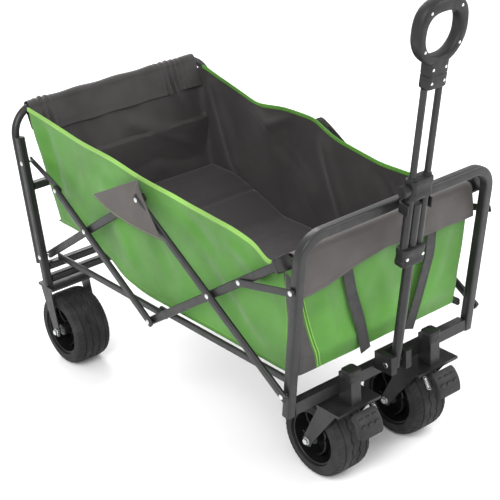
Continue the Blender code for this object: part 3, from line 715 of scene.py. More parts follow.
lower_middle = sum(span_up("handle_lower_clamp")) / 2
clamp_screws = [screw(on_handle(lower_middle, x, 0.0142), 0.0035) for x in (-0.020, 0.020)]
clamp_screws.append(screw(on_handle(0.345, 0.0, 0.0062), 0.003))
add_piece("clamp_screws", clamp_screws, ZINC.material, "handle_middle")

knob_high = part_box("handle_lock_knob")[1]
knob_base = joint["lock_knob_turn"] * (0, 1, 1) + (knob_high[0], 0, 0)
knob_angle = np.linspace(0, 2 * math.pi, 120, endpoint=False)[:, None]
knob_rows = np.array(((0, 0), (0, 0.0095), (0.0008, 0.0108), (0.002, 0.0113), (0.0145, 0.0113),
                      (0.0154, 0.0104), (0.0158, 0.009), (0.0150, 0.0082), (0.0148, 0)))
ribbed = (knob_rows[None, :, 1] > 0.0105) * 0.0006 * np.tanh(2.5 * np.sin(24 * knob_angle))
knob_reach = knob_rows[None, :, 1] + ribbed
knob_points = np.stack((knob_base[0] - knob_rows[None, :, 0] + 0 * knob_reach,
                        knob_base[1] + knob_reach * np.cos(knob_angle),
                        knob_base[2] + knob_reach * np.sin(knob_angle)), axis=-1)
knob = (knob_points.reshape(-1, 3), grid_faces(120, 9, True, False))
add_piece("ribbed_lock_knob", [knob], NYLON, "lock_knob", ["handle_lock_knob"], 25)


def superellipse(angle, exponent):
    """A unit outline between a circle, at 1, and a square, towards 0."""
    cosine, sine = np.cos(angle), np.sin(angle)
    return np.sign(cosine) * np.abs(cosine) ** exponent, np.sign(sine) * np.abs(sine) ** exponent


def grip_ring():
    """The D of the grip: between a squarish outer outline and the finger opening, both narrower
    towards the socket, runs a closed section with well-rounded edges."""
    around = np.linspace(0, 2 * math.pi, 128, endpoint=False)
    outer_x, outer_h = superellipse(around, 0.72)
    inner_x, inner_h = superellipse(around, 0.72)
    narrowing = 1 - 0.28 * np.clip(-np.sin(around), 0, 1) ** 1.2
    outer = np.stack((0.0595 * outer_x * narrowing, 0.682 + 0.0595 * outer_h), axis=1)
    inner = np.stack((0.0395 * inner_x * narrowing, 0.678 + 0.0385 * inner_h), axis=1)
    section = np.linspace(0, 2 * math.pi, 28, endpoint=False)
    across, ahead = superellipse(section, 0.62)
    middle, half = (outer + inner) / 2, (outer - inner) / 2
    flat = middle[:, None, :] + half[:, None, :] * across[None, :, None]
    base = joint["handle_pitch"]
    points = (base + flat[..., :1] * (1, 0, 0) + flat[..., 1:] * slope
              + 0.0128 * (ahead[None, :, None] + 0 * flat[..., :1]) * forward)
    return points.reshape(-1, 3), grid_faces(128, 28, True, True)


socket_heights = (0.5804, 0.5812, 0.583, 0.604, 0.6045, 0.607, 0.6075, 0.626, 0.633, 0.637)
socket_scale = (0.90, 0.95, 0.98, 0.98, 0.93, 0.93, 0.98, 0.99, 0.97, 0.90)
socket = swept(up_handle(socket_heights), rounded_section(0.049, 0.026, 0.007), (1, 0, 0), socket_scale)
add_piece("d_grip", [grip_ring(), socket], NYLON, "handle_upper", ["handle_grip"])
grip_screws = [screw(on_handle(height, x, 0.0124)) for height in (0.592, 0.617) for x in (-0.015, 0.015)]
grip_screws += [screw(on_handle(height, x, 0.0124)) for height, x in
                ((0.722, -0.036), (0.722, 0.036), (0.655, -0.041), (0.655, 0.041))]
add_piece("grip_screws", grip_screws, ZINC.material, "handle_upper")

clip_height = 0.3465
clip_outline = ((-0.0300, 0.010), (-0.0300, -0.008), (-0.0292, -0.0125), (-0.0262, -0.0158), (-0.021, -0.017),
                (0.021, -0.017), (0.0262, -0.0158), (0.0292, -0.0125), (0.0300, -0.008), (0.0300, 0.010))
clip_path = np.array([on_handle(clip_height, x, ahead) for x, ahead in clip_outline])
clip = swept(clip_path, rounded_section(0.021, 0.0026, 0.0009, 3), tuple(slope))
hoop_front = np.interp(clip_path[4][2], (front_low[1], front_high[1]), (front_low[0], front_high[0]))
foot_end = np.array((0.0, hoop_front - FRONT_TUBE / 2 + 0.001, clip_path[4][2]))
foot_start = np.array((0.0, clip_path[4][1] - 0.001, clip_path[4][2]))
foot_path = (foot_start, (foot_start + foot_end) / 2, foot_end)
foot = swept(foot_path, rounded_section(0.024, 0.018, 0.003), (1, 0, 0))
add_piece("parking_clip", [clip, foot], NYLON, "front_frame")

# ---------------------------------------------------------------------------------------------
# The basket: one loop of coated polyester, green outside and charcoal inside, that hangs between
# the hoops. It is creased where it has been folded, and its rim sags between the places that hold
# it up.

WEAVE = 0.0012
GREEN = (0.050, 0.205, 0.007)
CHARCOAL = (0.030, 0.026, 0.026)
WARM_GREY = (0.060, 0.051, 0.048)
LIME = (0.20, 0.42, 0.06)


def weave(name, color, roughness, sheen, gusset=None):
    """A coated plain weave: two crossed sets of yarns, with the dye and the gloss uneven, darker in
    the low places and paler where it has rubbed. A gusset is a second colour beyond a slanted line."""
    finish = Finish(name, color, roughness, sheen=sheen)
    cloth = finish.node("ShaderNodeUVMap", {"uv_map": "cloth"}, {}, "UV")
    warp, weft = finish.axes(cloth, "X", "Y")
    over = (warp * (2 * math.pi / WEAVE)).math("SINE", warp * (2 * math.pi / WEAVE))
    under = (weft * (2 * math.pi / WEAVE)).math("SINE", weft * (2 * math.pi / WEAVE))
    yarns = over * under
    dye = finish.spread(finish.noise(9.0, 5.0), 0.34, 0.68, 0.0, 1.0)
    dark = tuple(0.80 * value for value in color)
    pale = tuple(min(1.0, 1.16 * value + 0.002) for value in color)
    tone = finish.blend(dye, dark, pale)
    fleck = finish.spread(finish.noise(420.0, 2.0), 0.40, 0.66, 0.0, 0.28)
    tone = finish.blend(fleck, tone, tuple(0.62 * value for value in color))
    if gusset:
        x, y, z = finish.axes(finish.place(), "X", "Y", "Z")
        beside = finish.spread(x + z * 0.294, -0.0861, -0.0851, 1.0, 0.0)
        ahead = finish.spread(y, -0.345, -0.344, 1.0, 0.0)
        tone = finish.blend(beside * ahead, tone, gusset)
    finish.feed(base_color=tone)
    gloss = finish.spread(finish.noise(26.0, 4.0), 0.3, 0.7, roughness - 0.08, roughness + 0.08)
    finish.feed(roughness=gloss)
    finish.bump(yarns * 0.5 + finish.noise(70.0, 4.0) * 1.4, 0.0004, 0.45)
    return finish.material


GREEN_CLOTH = weave("green_weave", GREEN, 0.52, 0.12, CHARCOAL)
GREY_CLOTH = weave("charcoal_weave", CHARCOAL, 0.62, 0.10)
WARM_CLOTH = weave("warm_grey_weave", WARM_GREY, 0.66, 0.12)
LIME_CLOTH = weave("lime_tape", LIME, 0.58, 0.12)
THREAD = weave("lime_thread", (0.38, 0.62, 0.14), 0.6, 0.1)


def facing(surface):
    """The unit normals of a grid of points."""
    normal = np.cross(np.gradient(surface, axis=0), np.gradient(surface, axis=1))
    return normal / np.maximum(np.linalg.norm(normal, axis=-1, keepdims=True), 1e-12)


def sheet_area(surface):
    """The area of a grid, from the diagonals of its cells."""
    first = surface[1:, 1:] - surface[:-1, :-1]
    second = surface[1:, :-1] - surface[:-1, 1:]
    return float(np.linalg.norm(np.cross(first, second), axis=-1).sum() / 2)


def cloth_lengths(surface):
    """The distance in metres along the grid's rows and along its columns."""
    down = np.linalg.norm(np.diff(surface, axis=0), axis=-1).mean(axis=1)
    over = np.linalg.norm(np.diff(surface, axis=1), axis=-1).mean(axis=0)
    return np.concatenate(([0], np.cumsum(down))), np.concatenate(([0], np.cumsum(over)))


def fold_up(piece):
    """Gives a piece its own copy of its mesh."""
    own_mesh(piece)


def edge_ring(rows, columns):
    """The points round the outside of a grid, in order."""
    return ([row * columns for row in range(rows)]
            + [(rows - 1) * columns + column for column in range(1, columns)]
            + [row * columns + columns - 1 for row in range(rows - 2, -1, -1)]
            + list(range(columns - 2, 0, -1)))


def add_cloth(name, surface, thickness, outside, body, inside=None, replaces=(), fold=True):
    """One sheet of cloth from a grid of points on its middle. Its outer face lies on the side that
    the grid's rows turn towards its columns."""
    rows, columns = surface.shape[:2]
    normal = facing(surface) * thickness / 2
    points = np.concatenate(((surface + normal).reshape(-1, 3), (surface - normal).reshape(-1, 3)))
    count = rows * columns
    outer = grid_faces(rows, columns, False, False)
    outer = [[a, d, c, b] for a, b, c, d in outer]
    inner = [[corner + count for corner in reversed(face)] for face in outer]
    edge = edge_ring(rows, columns)
    border = [[a, b, b + count, a + count] for a, b in zip(edge, edge[1:] + edge[:1])]
    mesh = bpy.data.meshes.new(name)
    mesh.from_pydata(points.tolist(), [], outer + inner + border)
    down, over = cloth_lengths(surface)
    flat = np.stack(np.meshgrid(down, over, indexing="ij"), axis=-1).reshape(-1, 2)
    flat = np.concatenate((flat, flat))
    corner_point = np.empty(len(mesh.loops), int)
    mesh.loops.foreach_get("vertex_index", corner_point)
    mesh.uv_layers.new(name="cloth").data.foreach_set("uv", flat[corner_point].ravel())
    mesh.materials.append(outside)
    mesh.materials.append(inside or outside)
    mesh.polygons.foreach_set("material_index", [0] * len(outer) + [1] * len(inner) + [0] * len(border))
    shape = bmesh.new()
    shape.from_mesh(mesh)
    bmesh.ops.recalc_face_normals(shape, faces=shape.faces)
    shape.to_mesh(mesh)
    shape.free()
    mesh.shade_smooth()
    mesh.set_sharp_from_angle(angle=math.radians(60))
    piece = bpy.data.objects.new(name, mesh)
    bpy.context.collection.objects.link(piece)
    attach(piece, body)
    for node in replaces:
        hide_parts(node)
    if fold:
        fold_up(piece)
    cut = [math.ceil(float(length[-1]) * 1000) / 1000 for length in (over, down)]
    min(sheet_area(surface), cut[0] * cut[1])
    return piece


def eased(points, at):
    """A line through (place, height) pairs with its corners rounded off over 12 mm or so."""
    points = np.array(sorted(points))
    shift = np.linspace(-0.02, 0.02, 9)
    weight = np.exp(-(shift / 0.012) ** 2)
    near = np.interp(np.asarray(at)[..., None] + shift, points[:, 0], points[:, 1])
    return (near * weight).sum(axis=-1) / weight.sum()


def ridge(place, height, start, end, tall, wide):
    """A soft crease along a segment: it falls away like a bell to each side."""
    start, end = np.array(start), np.array(end)
    here = np.stack((place, height), axis=-1) - start
    share = np.clip(here @ (end - start) / ((end - start) @ (end - start)), 0, 1)
    gap = np.linalg.norm(here - share[..., None] * (end - start), axis=-1)
    return tall * np.exp(-(gap / wide) ** 2) * (0.35 + 0.65 * np.sin(math.pi * (0.12 + 0.76 * share)))


NEAR_RIM = ((0.47, 0.606), (0.375, 0.593), (0.278, 0.578), (0.161, 0.571), (0.075, 0.557), (0.0, 0.551),
            (-0.126, 0.542), (-0.211, 0.536), (-0.273, 0.524), (-0.307, 0.495), (-0.340, 0.515),
            (-0.372, 0.532))
FAR_RIM = ((0.47, 0.590), (0.321, 0.552), (0.271, 0.541), (0.18, 0.552), (0.085, 0.551), (0.049, 0.535),
           (0.01, 0.522), (-0.121, 0.503), (-0.189, 0.503), (-0.31, 0.505), (-0.372, 0.528))
HEM_LOW = ((-0.40, 0.270), (0.10, 0.270), (0.152, 0.271), (0.227, 0.283), (0.27, 0.315), (0.318, 0.328),
           (0.36, 0.342), (0.50, 0.342))
NEAR_CREASES = (((0.43, 0.56), (0.40, 0.36), -0.006, 0.022), ((0.40, 0.40), (0.30, 0.33), 0.005, 0.018),
                ((-0.02, 0.54), (-0.14, 0.47), -0.005, 0.018), ((-0.11, 0.42), (-0.25, 0.28), -0.007, 0.022),
                ((-0.20, 0.50), (-0.31, 0.44), 0.005, 0.016), ((0.10, 0.50), (0.02, 0.36), -0.004, 0.020),
                ((0.22, 0.50), (0.16, 0.33), 0.004, 0.022))
FAR_CREASES = (((0.44, 0.55), (0.33, 0.32), -0.010, 0.024), ((0.30, 0.54), (0.24, 0.50), -0.006, 0.014),
               ((0.24, 0.50), (0.17, 0.535), -0.006, 0.013), ((0.20, 0.46), (0.10, 0.40), 0.005, 0.020),
               ((0.05, 0.50), (-0.02, 0.34), -0.007, 0.020), ((-0.12, 0.48), (-0.20, 0.36), 0.006, 0.020),
               ((-0.20, 0.47), (-0.28, 0.40), -0.005, 0.016))
REAR_CREASES = (((-0.12, 0.52), (-0.10, 0.38), 0.004, 0.016), ((0.02, 0.50), (0.17, 0.42), -0.007, 0.020),
                ((0.0, 0.45), (0.19, 0.37), 0.006, 0.018), ((0.15, 0.56), (0.20, 0.45), -0.006, 0.016))
FRONT_CREASES = (((-0.105, 0.47), (-0.045, 0.26), -0.006, 0.016),
                 ((0.118, 0.47), (0.072, 0.26), -0.006, 0.016),
                 ((-0.20, 0.30), (0.18, 0.30), 0.006, 0.030), ((-0.02, 0.46), (0.03, 0.33), 0.004, 0.020),
                 ((0.17, 0.46), (0.14, 0.32), 0.004, 0.018), ((-0.16, 0.45), (-0.13, 0.33), 0.004, 0.018))
CORNER = 0.014
SIDE_STATIONS = 130
END_STATIONS = 84
CORNER_STATIONS = 6
near_rows = slice(0, SIDE_STATIONS)
front_rows = slice(near_rows.stop + CORNER_STATIONS, near_rows.stop + CORNER_STATIONS + END_STATIONS)
far_rows = slice(front_rows.stop + CORNER_STATIONS, front_rows.stop + CORNER_STATIONS + SIDE_STATIONS)


def wall_plan(height):
    """How far the loop reaches at a height: to each side, to the front and to the rear."""
    half_width = 0.2155 + 0.0215 * np.clip((height - 0.276) / 0.306, 0, 1.1)
    return half_width, -0.347 - 0.108 * (height - 0.27), 0.452 + 0.205 * (height - 0.35)


def wall_stations():
    """Around the loop from the near rear corner: where the corner's centre lies, from -1 to 1 across
    and from 0 to 1 along, which way the wall faces, and which of the four walls it is."""
    sides = ((-1, 1, -1, 0, math.pi, SIDE_STATIONS), (-1, 0, 1, 0, 1.5 * math.pi, END_STATIONS),
             (1, 0, 1, 1, 2 * math.pi, SIDE_STATIONS), (1, 1, -1, 1, 2.5 * math.pi, END_STATIONS))
    rows = []
    for wall, (x0, y0, x1, y1, angle, count) in enumerate(sides):
        for share in np.linspace(0, 1, count):
            rows.append((x0 + (x1 - x0) * share, y0 + (y1 - y0) * share, angle, wall))
        if wall < 3:
            for share in np.linspace(0, 1, CORNER_STATIONS + 2)[1:-1]:
                rows.append((x1, y1, angle + share * math.pi / 2, wall + share))
    return np.array(rows).T


across_at, along_at, angle_at, wall_at = wall_stations()


def wall_points(height, lift):
    """Points on the loop: the rounded plan at each height, moved outwards by lift."""
    half_width, front, rear = wall_plan(height)
    shape = [array if height.ndim == 1 else array[:, None] for array in (across_at, along_at, angle_at)]
    x = shape[0] * (half_width - CORNER) + (CORNER + lift) * np.cos(shape[2])
    y = front + CORNER + shape[1] * (rear - front - 2 * CORNER) + (CORNER + lift) * np.sin(shape[2])
    return np.stack((np.clip(x, -0.2425, 0.2425), y, height), axis=-1)


def by_wall(near, front, far, rear):
    """One value per station from one per wall, blended around the corners."""
    values = np.stack((near, front, far, rear))
    lower = np.floor(wall_at).astype(int)
    share = wall_at - lower
    station = np.arange(len(wall_at))
    return values[lower, station] * (1 - share) + values[np.minimum(lower + 1, 3), station] * share


station_y = wall_points(np.full(len(wall_at), 0.5), 0.0)[:, 1]
flat_line = np.ones(len(wall_at))
side_low = eased(HEM_LOW, station_y)
rim_height = by_wall(eased(NEAR_RIM, station_y), 0.522 * flat_line, eased(FAR_RIM, station_y),
                     0.575 * flat_line)
low_height = by_wall(side_low, 0.268 * flat_line, side_low, 0.345 * flat_line)
blur = np.exp(-np.linspace(-2, 2, 9) ** 2)
rim_height = np.convolve(np.pad(rim_height, 4, "edge"), blur / blur.sum(), "valid")
low_height = np.convolve(np.pad(low_height, 4, "edge"), blur / blur.sum(), "valid")


def wall_lift(height):
    """How far the cloth stands out from its plan: creases, then slow waves that fade at both hems."""
    base = wall_points(height, 0.0)
    lift = np.zeros(height.shape)
    for wall, creases, place in ((0, NEAR_CREASES, base[..., 1]), (1, FRONT_CREASES, base[..., 0]),
                                 (2, FAR_CREASES, base[..., 1]), (3, REAR_CREASES, base[..., 0])):
        here = np.clip(1 - np.abs(wall_at - wall) * 1.5, 0, 1)
        here = here if height.ndim == 1 else here[:, None]
        for start, end, tall, wide in creases:
            lift = lift + 1.4 * here * ridge(place, height, start, end, tall, wide)
    rng = np.random.default_rng(7)
    run = np.arange(len(wall_at)) * 0.0062
    run = run if height.ndim == 1 else run[:, None]
    for pitch in (0.31, 0.19, 0.11, 0.067):
        tilt, phase = rng.uniform(-0.7, 0.7), rng.uniform(0, 6.28)
        lift = lift + 0.0055 * pitch * np.sin(2 * math.pi * (run + tilt * height) / pitch + phase)
    return lift


wall_share = np.linspace(0, 1, 52)[None, :]
wall_height = low_height[:, None] + (rim_height - low_height)[:, None] * wall_share
held_at_hems = np.clip(np.sin(math.pi * np.clip(wall_share, 0.03, 0.97)) * 2.2, 0, 1)
wall = wall_points(wall_height, wall_lift(wall_height) * held_at_hems)
wall[..., 1] = np.where((wall[..., 2] < 0.47) & (wall[..., 1] > 0.4635), 0.4635, wall[..., 1])
loop_end = len(wall_at) - END_STATIONS
for name, part, outside, nodes in (
        ("basket_wall", wall[:loop_end + 1], GREEN_CLOTH,
         ("basket_side_left", "basket_side_right", "basket_front_panel")),
        ("basket_rear_wall", wall[loop_end:], GREY_CLOTH, ("basket_rear_panel",))):
    add_cloth(name, part, 0.0012, outside, "rear_frame", GREY_CLOTH, nodes)

near_low, far_low = wall[near_rows, 0], wall[far_rows, 0][::-1]
over = np.linspace(0, 1, 40)[None, :, None]
base_cloth = near_low[:, None] * (1 - over) + far_low[:, None] * over
base_cloth[..., 1] += np.linspace(1, 0, SIDE_STATIONS)[:, None] * 0.027 - 0.0135
base_cloth[..., 2] += 0.0012 - 0.0020 * np.sin(math.pi * over[..., 0]) ** 2
add_cloth("basket_base", base_cloth, 0.0012, GREY_CLOTH, "rear_frame")

# ---------------------------------------------------------------------------------------------
# The basket's trim: a hem with zigzag stitching along each rim, lime piping on the front gusset,
# seams, the grey flaps over the top pivots, and two webbing straps down the front.

ZIGZAG = 0.004


def along_line(points, count):
    """Evenly spaced points on a smooth line through a few."""
    points = np.array(points, float)
    gap = np.concatenate(([0], np.cumsum(np.linalg.norm(np.diff(points, axis=0), axis=1))))
    share = np.linspace(0, gap[-1], 400)
    fine = np.stack([np.interp(share, gap, points[:, axis]) for axis in range(3)], axis=1)
    width = max(3, 400 // (3 * len(points)))
    blur = np.hanning(2 * width + 1)
    fine = np.pad(fine, ((width, width), (0, 0)), "reflect", reflect_type="odd")
    fine = np.stack([np.convolve(fine[:, axis], blur / blur.sum(), "valid") for axis in range(3)], axis=1)
    gap = np.concatenate(([0], np.cumsum(np.linalg.norm(np.diff(fine, axis=0), axis=1))))
    even = np.linspace(0, gap[-1], count)
    return np.stack([np.interp(even, gap, fine[:, axis]) for axis in range(3)], axis=1)


def stitches(line, side, pitch=ZIGZAG, swing=0.0, radius=0.00042):
    """Long thread eyes, each an eight-faced spindle, end to end along a line. With a swing they lean
    one way and then the other across it."""
    gap = np.concatenate(([0], np.cumsum(np.linalg.norm(np.diff(line, axis=0), axis=1))))
    count = max(2, int(gap[-1] / pitch))
    at = np.linspace(0, gap[-1], count + 1)
    ends = np.stack([np.interp(at, gap, line[:, axis]) for axis in range(3)], axis=1)
    side = np.array(side, float)
    ends = ends + (swing * (-1.0) ** np.arange(count + 1))[:, None] * side
    start, end = ends[:-1], ends[1:]
    start, end = start + 0.14 * (end - start), end - 0.14 * (end - start)
    run = (end - start) / np.linalg.norm(end - start, axis=1, keepdims=True)
    first = np.cross(run, np.cross(run, (0.31, 0.52, 0.79)))
    first /= np.linalg.norm(first, axis=1, keepdims=True)
    second = np.cross(run, first)
    middle = (start + end) / 2
    corners = np.stack((start, middle + radius * first, middle + radius * second, middle - radius * first,
                        middle - radius * second, end), axis=1)
    shape = np.array(((0, 2, 1), (0, 3, 2), (0, 4, 3), (0, 1, 4), (5, 1, 2), (5, 2, 3), (5, 3, 4), (5, 4, 1)))
    faces = (np.arange(count)[:, None, None] * 6 + shape).reshape(-1, 3).tolist()
    return corners.reshape(-1, 3), faces


def add_folded(name, shapes, finish, sharp=50):
    """A closed piece on the rear frame, given its own copy of its mesh."""
    piece = add_piece(name, shapes, finish, "rear_frame", (), sharp)
    fold_up(piece)
    return piece


for side, rows, finish, wide in (("near", near_rows, LIME_CLOTH, 0.0085),
                                 ("far", far_rows, GREEN_CLOTH, 0.0075)):
    rim = wall[rows, -1]
    out = np.sign(rim[:, :1]) * np.array((1.0, 0.0, 0.0))
    down = np.array((0.0, 0.0, -1.0))
    turn_over = ((0.0013, wide), (0.0016, 0.002), (0.0012, 0.0), (0.0, -0.0009), (-0.0012, 0.0),
                 (-0.0016, 0.002), (-0.0013, wide))
    hem = np.stack([rim + out * shift + down * drop for shift, drop in turn_over], axis=1)
    hem[..., 0] = np.clip(hem[..., 0], -0.2436, 0.2436)
    add_cloth(f"hem_{side}", hem, 0.0007, finish, "rear_frame")
    line = rim + out * 0.0020 + down * wide * 0.55
    inner = rim - out * 0.0020 + down * wide * 0.55
    threads = [stitches(line, (0, 0, 1), ZIGZAG, 0.0017), stitches(inner, (0, 0, 1), ZIGZAG, 0.0017)]
    add_folded(f"hem_stitches_{side}", threads, THREAD, 80)

front = wall[front_rows]


def on_front(x, z, ahead=0.0):
    """A point on the front wall, or a little ahead of it."""
    row = np.argmin(np.abs(front[:, 20, 0] - x))
    height = front[row, :, 2]
    return np.array((x, np.interp(z, height, front[row, :, 1]) - ahead, z))


for index, shift in enumerate((0.0, 0.0062)):
    seam = [on_front(-0.212 + shift + 0.05 * fall, 0.44 - 0.168 * fall, 0.0016)
            for fall in np.linspace(0, 1, 24)]
    line = along_line(seam, 60)
    add_folded(f"gusset_piping_{index}", [swept(line, round_section(0.0011, 10), (1, 0, 0))], LIME_CLOTH)
near_wall = wall[near_rows]
column = np.argmin(np.abs(near_wall[:, 20, 1] + 0.335))
seam = near_wall[column, 2:46] + (-0.0012, 0, 0)
add_folded("corner_seam_stitches", [stitches(seam, (0, 1, 0))], THREAD, 80)
for side, sign in (("left", -1), ("right", 1)):
    rows = near_rows if sign < 0 else far_rows
    line = wall[rows, 2] + np.array((sign * 0.0012, 0.0, 0.0))
    add_folded(f"lower_hem_stitches_{side}", [stitches(line, (0, 0, 1))], THREAD, 80)

share, over = np.meshgrid(np.linspace(0.02, 1, 26), np.linspace(0, 1, 34), indexing="ij")
for side, sign in (("left", -1), ("right", 1)):
    apex, rear_corner, front_corner = (np.array(place) for place in
                                       ((0.075, 0.5535), (0.213, 0.489), (-0.029, 0.463)))
    flat = apex + share[..., None] * ((1 - over)[..., None] * (rear_corner - apex)
                                      + over[..., None] * (front_corner - apex))
    bulge = 0.0055 * np.sin(math.pi * over) * share + 0.0014 * np.sin(9 * over + 5 * share)
    flap = np.stack((sign * (0.2415 + 0.0275 * np.sqrt(share) + bulge * 0.6), flat[..., 0],
                     flat[..., 1] - 0.010 * np.sin(math.pi * over) * share ** 2), axis=-1)
    if sign > 0:
        flap = flap[:, ::-1]
    add_cloth(f"pivot_flap_{side}", flap, 0.0012, WARM_CLOTH, "rear_frame")
    edge = flap[-1] - np.array((0.0, 0.0, -0.0035)) + (sign * 0.001, 0, 0)
    add_folded(f"flap_stitches_{side}", [stitches(edge, (0, 0, 1))], THREAD, 80)


def webbing():
    """Black polyester webbing: diagonal ribs with a plain selvedge."""
    finish = Finish("webbing", (0.012, 0.012, 0.012), 0.62, sheen=0.15)
    cloth = finish.node("ShaderNodeUVMap", {"uv_map": "cloth"}, {}, "UV")
    run, width = finish.axes(cloth, "X", "Y")
    lean = (run + width) * (2 * math.pi / 0.0021)
    ribs = lean.math("SINE", lean)
    wear = finish.spread(finish.noise(60.0, 4.0), 0.45, 0.75)
    finish.feed(base_color=finish.blend(wear, (0.012, 0.012, 0.012), (0.028, 0.028, 0.027)))
    finish.feed(roughness=finish.spread(finish.noise(130.0), 0.3, 0.7, 0.54, 0.72))
    finish.bump(ribs, 0.0003, 0.6)
    return finish.material


WEBBING = webbing()
for side, places in (("left", ((-0.105, 0.465), (-0.085, 0.40), (-0.062, 0.33), (-0.045, 0.262))),
                     ("right", ((0.118, 0.470), (0.116, 0.415), (0.094, 0.326), (0.072, 0.262)))):
    line = along_line([on_front(x, z, 0.0095) for x, z in places], 60)
    width = np.linspace(-0.0125, 0.0125, 9)
    run = np.gradient(line, axis=0)
    run /= np.linalg.norm(run, axis=1, keepdims=True)
    beside = np.cross(run, (0, 1, 0))
    strap = line[:, None] + width[None, :, None] * beside[:, None]
    add_cloth(f"front_strap_{side}", strap, 0.0017, WEBBING, "rear_frame")
    for name, offset in (("inner", -0.0098), ("outer", 0.0098)):
        edge = line + beside * offset - np.array((0, 0.0010, 0))
        thread = stitches(edge, (1, 0, 0), 0.005)
        add_folded(f"strap_thread_{side}_{name}", [thread], WEBBING, 80)

# ---------------------------------------------------------------------------------------------
# The sleeves: charcoal cloth sewn round the rear hoop's top tube and gathered there, and warm grey
# cloth wrapped over the front rail with its lower edge hanging free.

across, turn_share = np.meshgrid(np.linspace(-0.228, 0.228, 120), np.linspace(0, 1, 46), indexing="ij")
top_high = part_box("rear_u_tube")[1]
hoop_top = np.array((top_high[1] - 0.0093, top_high[2] - 0.0093))
sleeve_turn = np.clip((turn_share - 0.20) / 0.42, 0, 1) * math.pi
gather = 0.0030 * np.exp(-((across + 0.19) / 0.016) ** 2)
gather += 0.0034 * np.exp(-((across - 0.155) / 0.028) ** 2)
pucker = gather * np.sin(across * 420 + 3 * turn_share) + 0.0010 * np.sin(across * 61 + 2.0 * turn_share)
reach = 0.0112 + np.maximum(pucker, -0.0010)
inner_drop = 0.058 * np.clip(1 - turn_share / 0.20, 0, 1)
outer_drop = 0.052 * np.clip((turn_share - 0.62) / 0.38, 0, 1)
ripple = pucker * np.clip((inner_drop + outer_drop) / 0.03, 0, 1)
sleeve = np.stack((across,
                   hoop_top[0] - reach * np.cos(sleeve_turn) - inner_drop * 0.34 - outer_drop * 0.42 - ripple,
                   hoop_top[1] + reach * np.sin(sleeve_turn) - inner_drop - outer_drop), axis=-1)
add_cloth("rear_sleeve", sleeve, 0.0012, GREY_CLOTH, "rear_frame", fold=False)
rear_line = sleeve[:, 2] - np.array((0, 0.0012, 0))
add_piece("rear_sleeve_stitches", [stitches(rear_line, (0, 0, 1))], GREY_CLOTH, "rear_frame",
          (), 80)

rail_low, rail_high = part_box("front_rail")
rail = ((rail_low[1] + rail_high[1]) / 2, (rail_low[2] + rail_high[2]) / 2)
across, turn_share = np.meshgrid(np.linspace(-0.226, 0.226, 120), np.linspace(0, 1, 44), indexing="ij")
wrap = np.clip((turn_share - 0.26) / 0.32, 0, 1) * math.pi
droop = (0.054 + 0.020 * np.clip((-across - 0.10) / 0.10, 0, 1) - 0.012 * np.exp(-(across / 0.05) ** 2)
         + 0.0015 * np.sin(across * 34))
wave = 0.0012 * np.sin(across * 42 + 1) + 0.0008 * np.sin(across * 88 + 4)
back_drop = 0.048 * np.clip(1 - turn_share / 0.26, 0, 1)
front_drop = droop * np.clip((turn_share - 0.58) / 0.42, 0, 1)
radius = 0.0128
belly = (0.0045 + wave) * np.sin(math.pi * np.clip((turn_share - 0.58) / 0.42, 0, 1) * 0.7)
front_sleeve = np.stack((across,
                         rail[0] + radius * np.cos(wrap) - front_drop * 0.03 - belly,
                         rail[1] + radius * np.sin(wrap) - back_drop - front_drop), axis=-1)
add_cloth("front_sleeve", front_sleeve, 0.0012, WARM_CLOTH, "rear_frame")
for row, name in ((-3, "front"), (2, "back")):
    line = front_sleeve[:, row] + np.array((0, -0.0013 if row < 0 else 0.0013, 0))
    add_folded(f"front_sleeve_stitches_{name}", [stitches(line, (0, 0, 1))], WARM_CLOTH, 80)

# ---------------------------------------------------------------------------------------------
# The floor mat: a padded board in fine-ribbed charcoal cloth, with a fold line across it, that
# lifts at the rear where it lies on the crossbar.


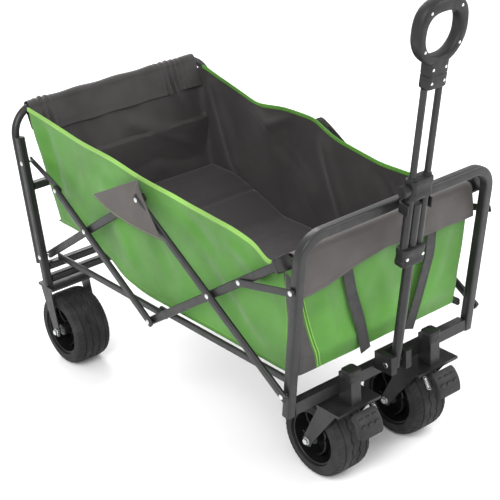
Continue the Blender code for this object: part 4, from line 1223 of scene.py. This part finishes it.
def ribbed_cloth():
    """Charcoal cloth with fine ribs along the wagon, and painted shade that darkens the rib troughs."""
    finish = Finish("ribbed_cloth", CHARCOAL, 0.66, sheen=0.1)
    x, = finish.axes(finish.place(), "X")
    ribs = (x * (2 * math.pi / 0.004)).math("SINE", x * (2 * math.pi / 0.004))
    dust = finish.spread(finish.noise(11.0, 6.0), 0.40, 0.70)
    pale = tuple(1.5 * value for value in CHARCOAL)
    # Painted shade: the colour is darkest in the rib troughs and less dark on the crests, following the same
    # ribs as the bump.
    painted_rib_shade = finish.spread(ribs, -1.0, 1.0, 0.0, 0.35)
    tone = finish.blend(painted_rib_shade, tuple(0.72 * value for value in CHARCOAL), finish.blend(dust, CHARCOAL, pale))
    finish.feed(base_color=tone)
    finish.feed(roughness=finish.spread(finish.noise(30.0), 0.3, 0.7, 0.58, 0.74))
    finish.bump(ribs * 0.5 + finish.noise(260.0, 3.0) * 0.5, 0.0006, 0.5)
    return finish.material


mat_x, mat_y = np.meshgrid(np.linspace(-1, 1, 70), np.linspace(-0.338, 0.445, 116), indexing="ij")
MAT_LINE = ((-0.40, 0.300), (0.18, 0.300), (0.27, 0.332), (0.318, 0.346), (0.36, 0.358), (0.50, 0.359))
lifted = eased(MAT_LINE, mat_y)
edge_fall = 0.006 * np.clip((np.abs(mat_x) - 0.93) / 0.07, 0, 1) ** 2
end_fall = 0.006 * np.clip((np.abs(mat_y - 0.0535) - 0.3785) / 0.013, 0, 1) ** 2
groove = 0.0045 * np.exp(-((mat_y - 0.29) / 0.006) ** 2) + 0.0030 * np.exp(-((mat_y + 0.02) / 0.006) ** 2)
waves = 0.0012 * np.sin(17 * mat_y + 2 * mat_x) * np.cos(2.4 * mat_x)
mat_half = 0.2125 + 0.0215 * np.clip((lifted - 0.276) / 0.306, 0, 1)
mat_top = np.stack((mat_x * mat_half, mat_y, lifted - edge_fall - end_fall - groove + waves), axis=-1)
mat_low = mat_top * (1, 1, 0) + np.stack((0 * mat_x, 0 * mat_x, lifted - 0.014), axis=-1)
rows, columns = mat_x.shape
count = rows * columns
mat_points = np.concatenate((mat_top.reshape(-1, 3), mat_low.reshape(-1, 3)))
upper_faces = grid_faces(rows, columns, False, False)
lower_faces = [[corner + count for corner in reversed(face)] for face in upper_faces]
ring = edge_ring(rows, columns)
border = [[a, b, b + count, a + count] for a, b in zip(ring, ring[1:] + ring[:1])]
mat = add_piece("padded_floor", [(mat_points, upper_faces + lower_faces + border)],
                ribbed_cloth(), "rear_frame", ["floor_mat"], 50)
fold_up(mat)
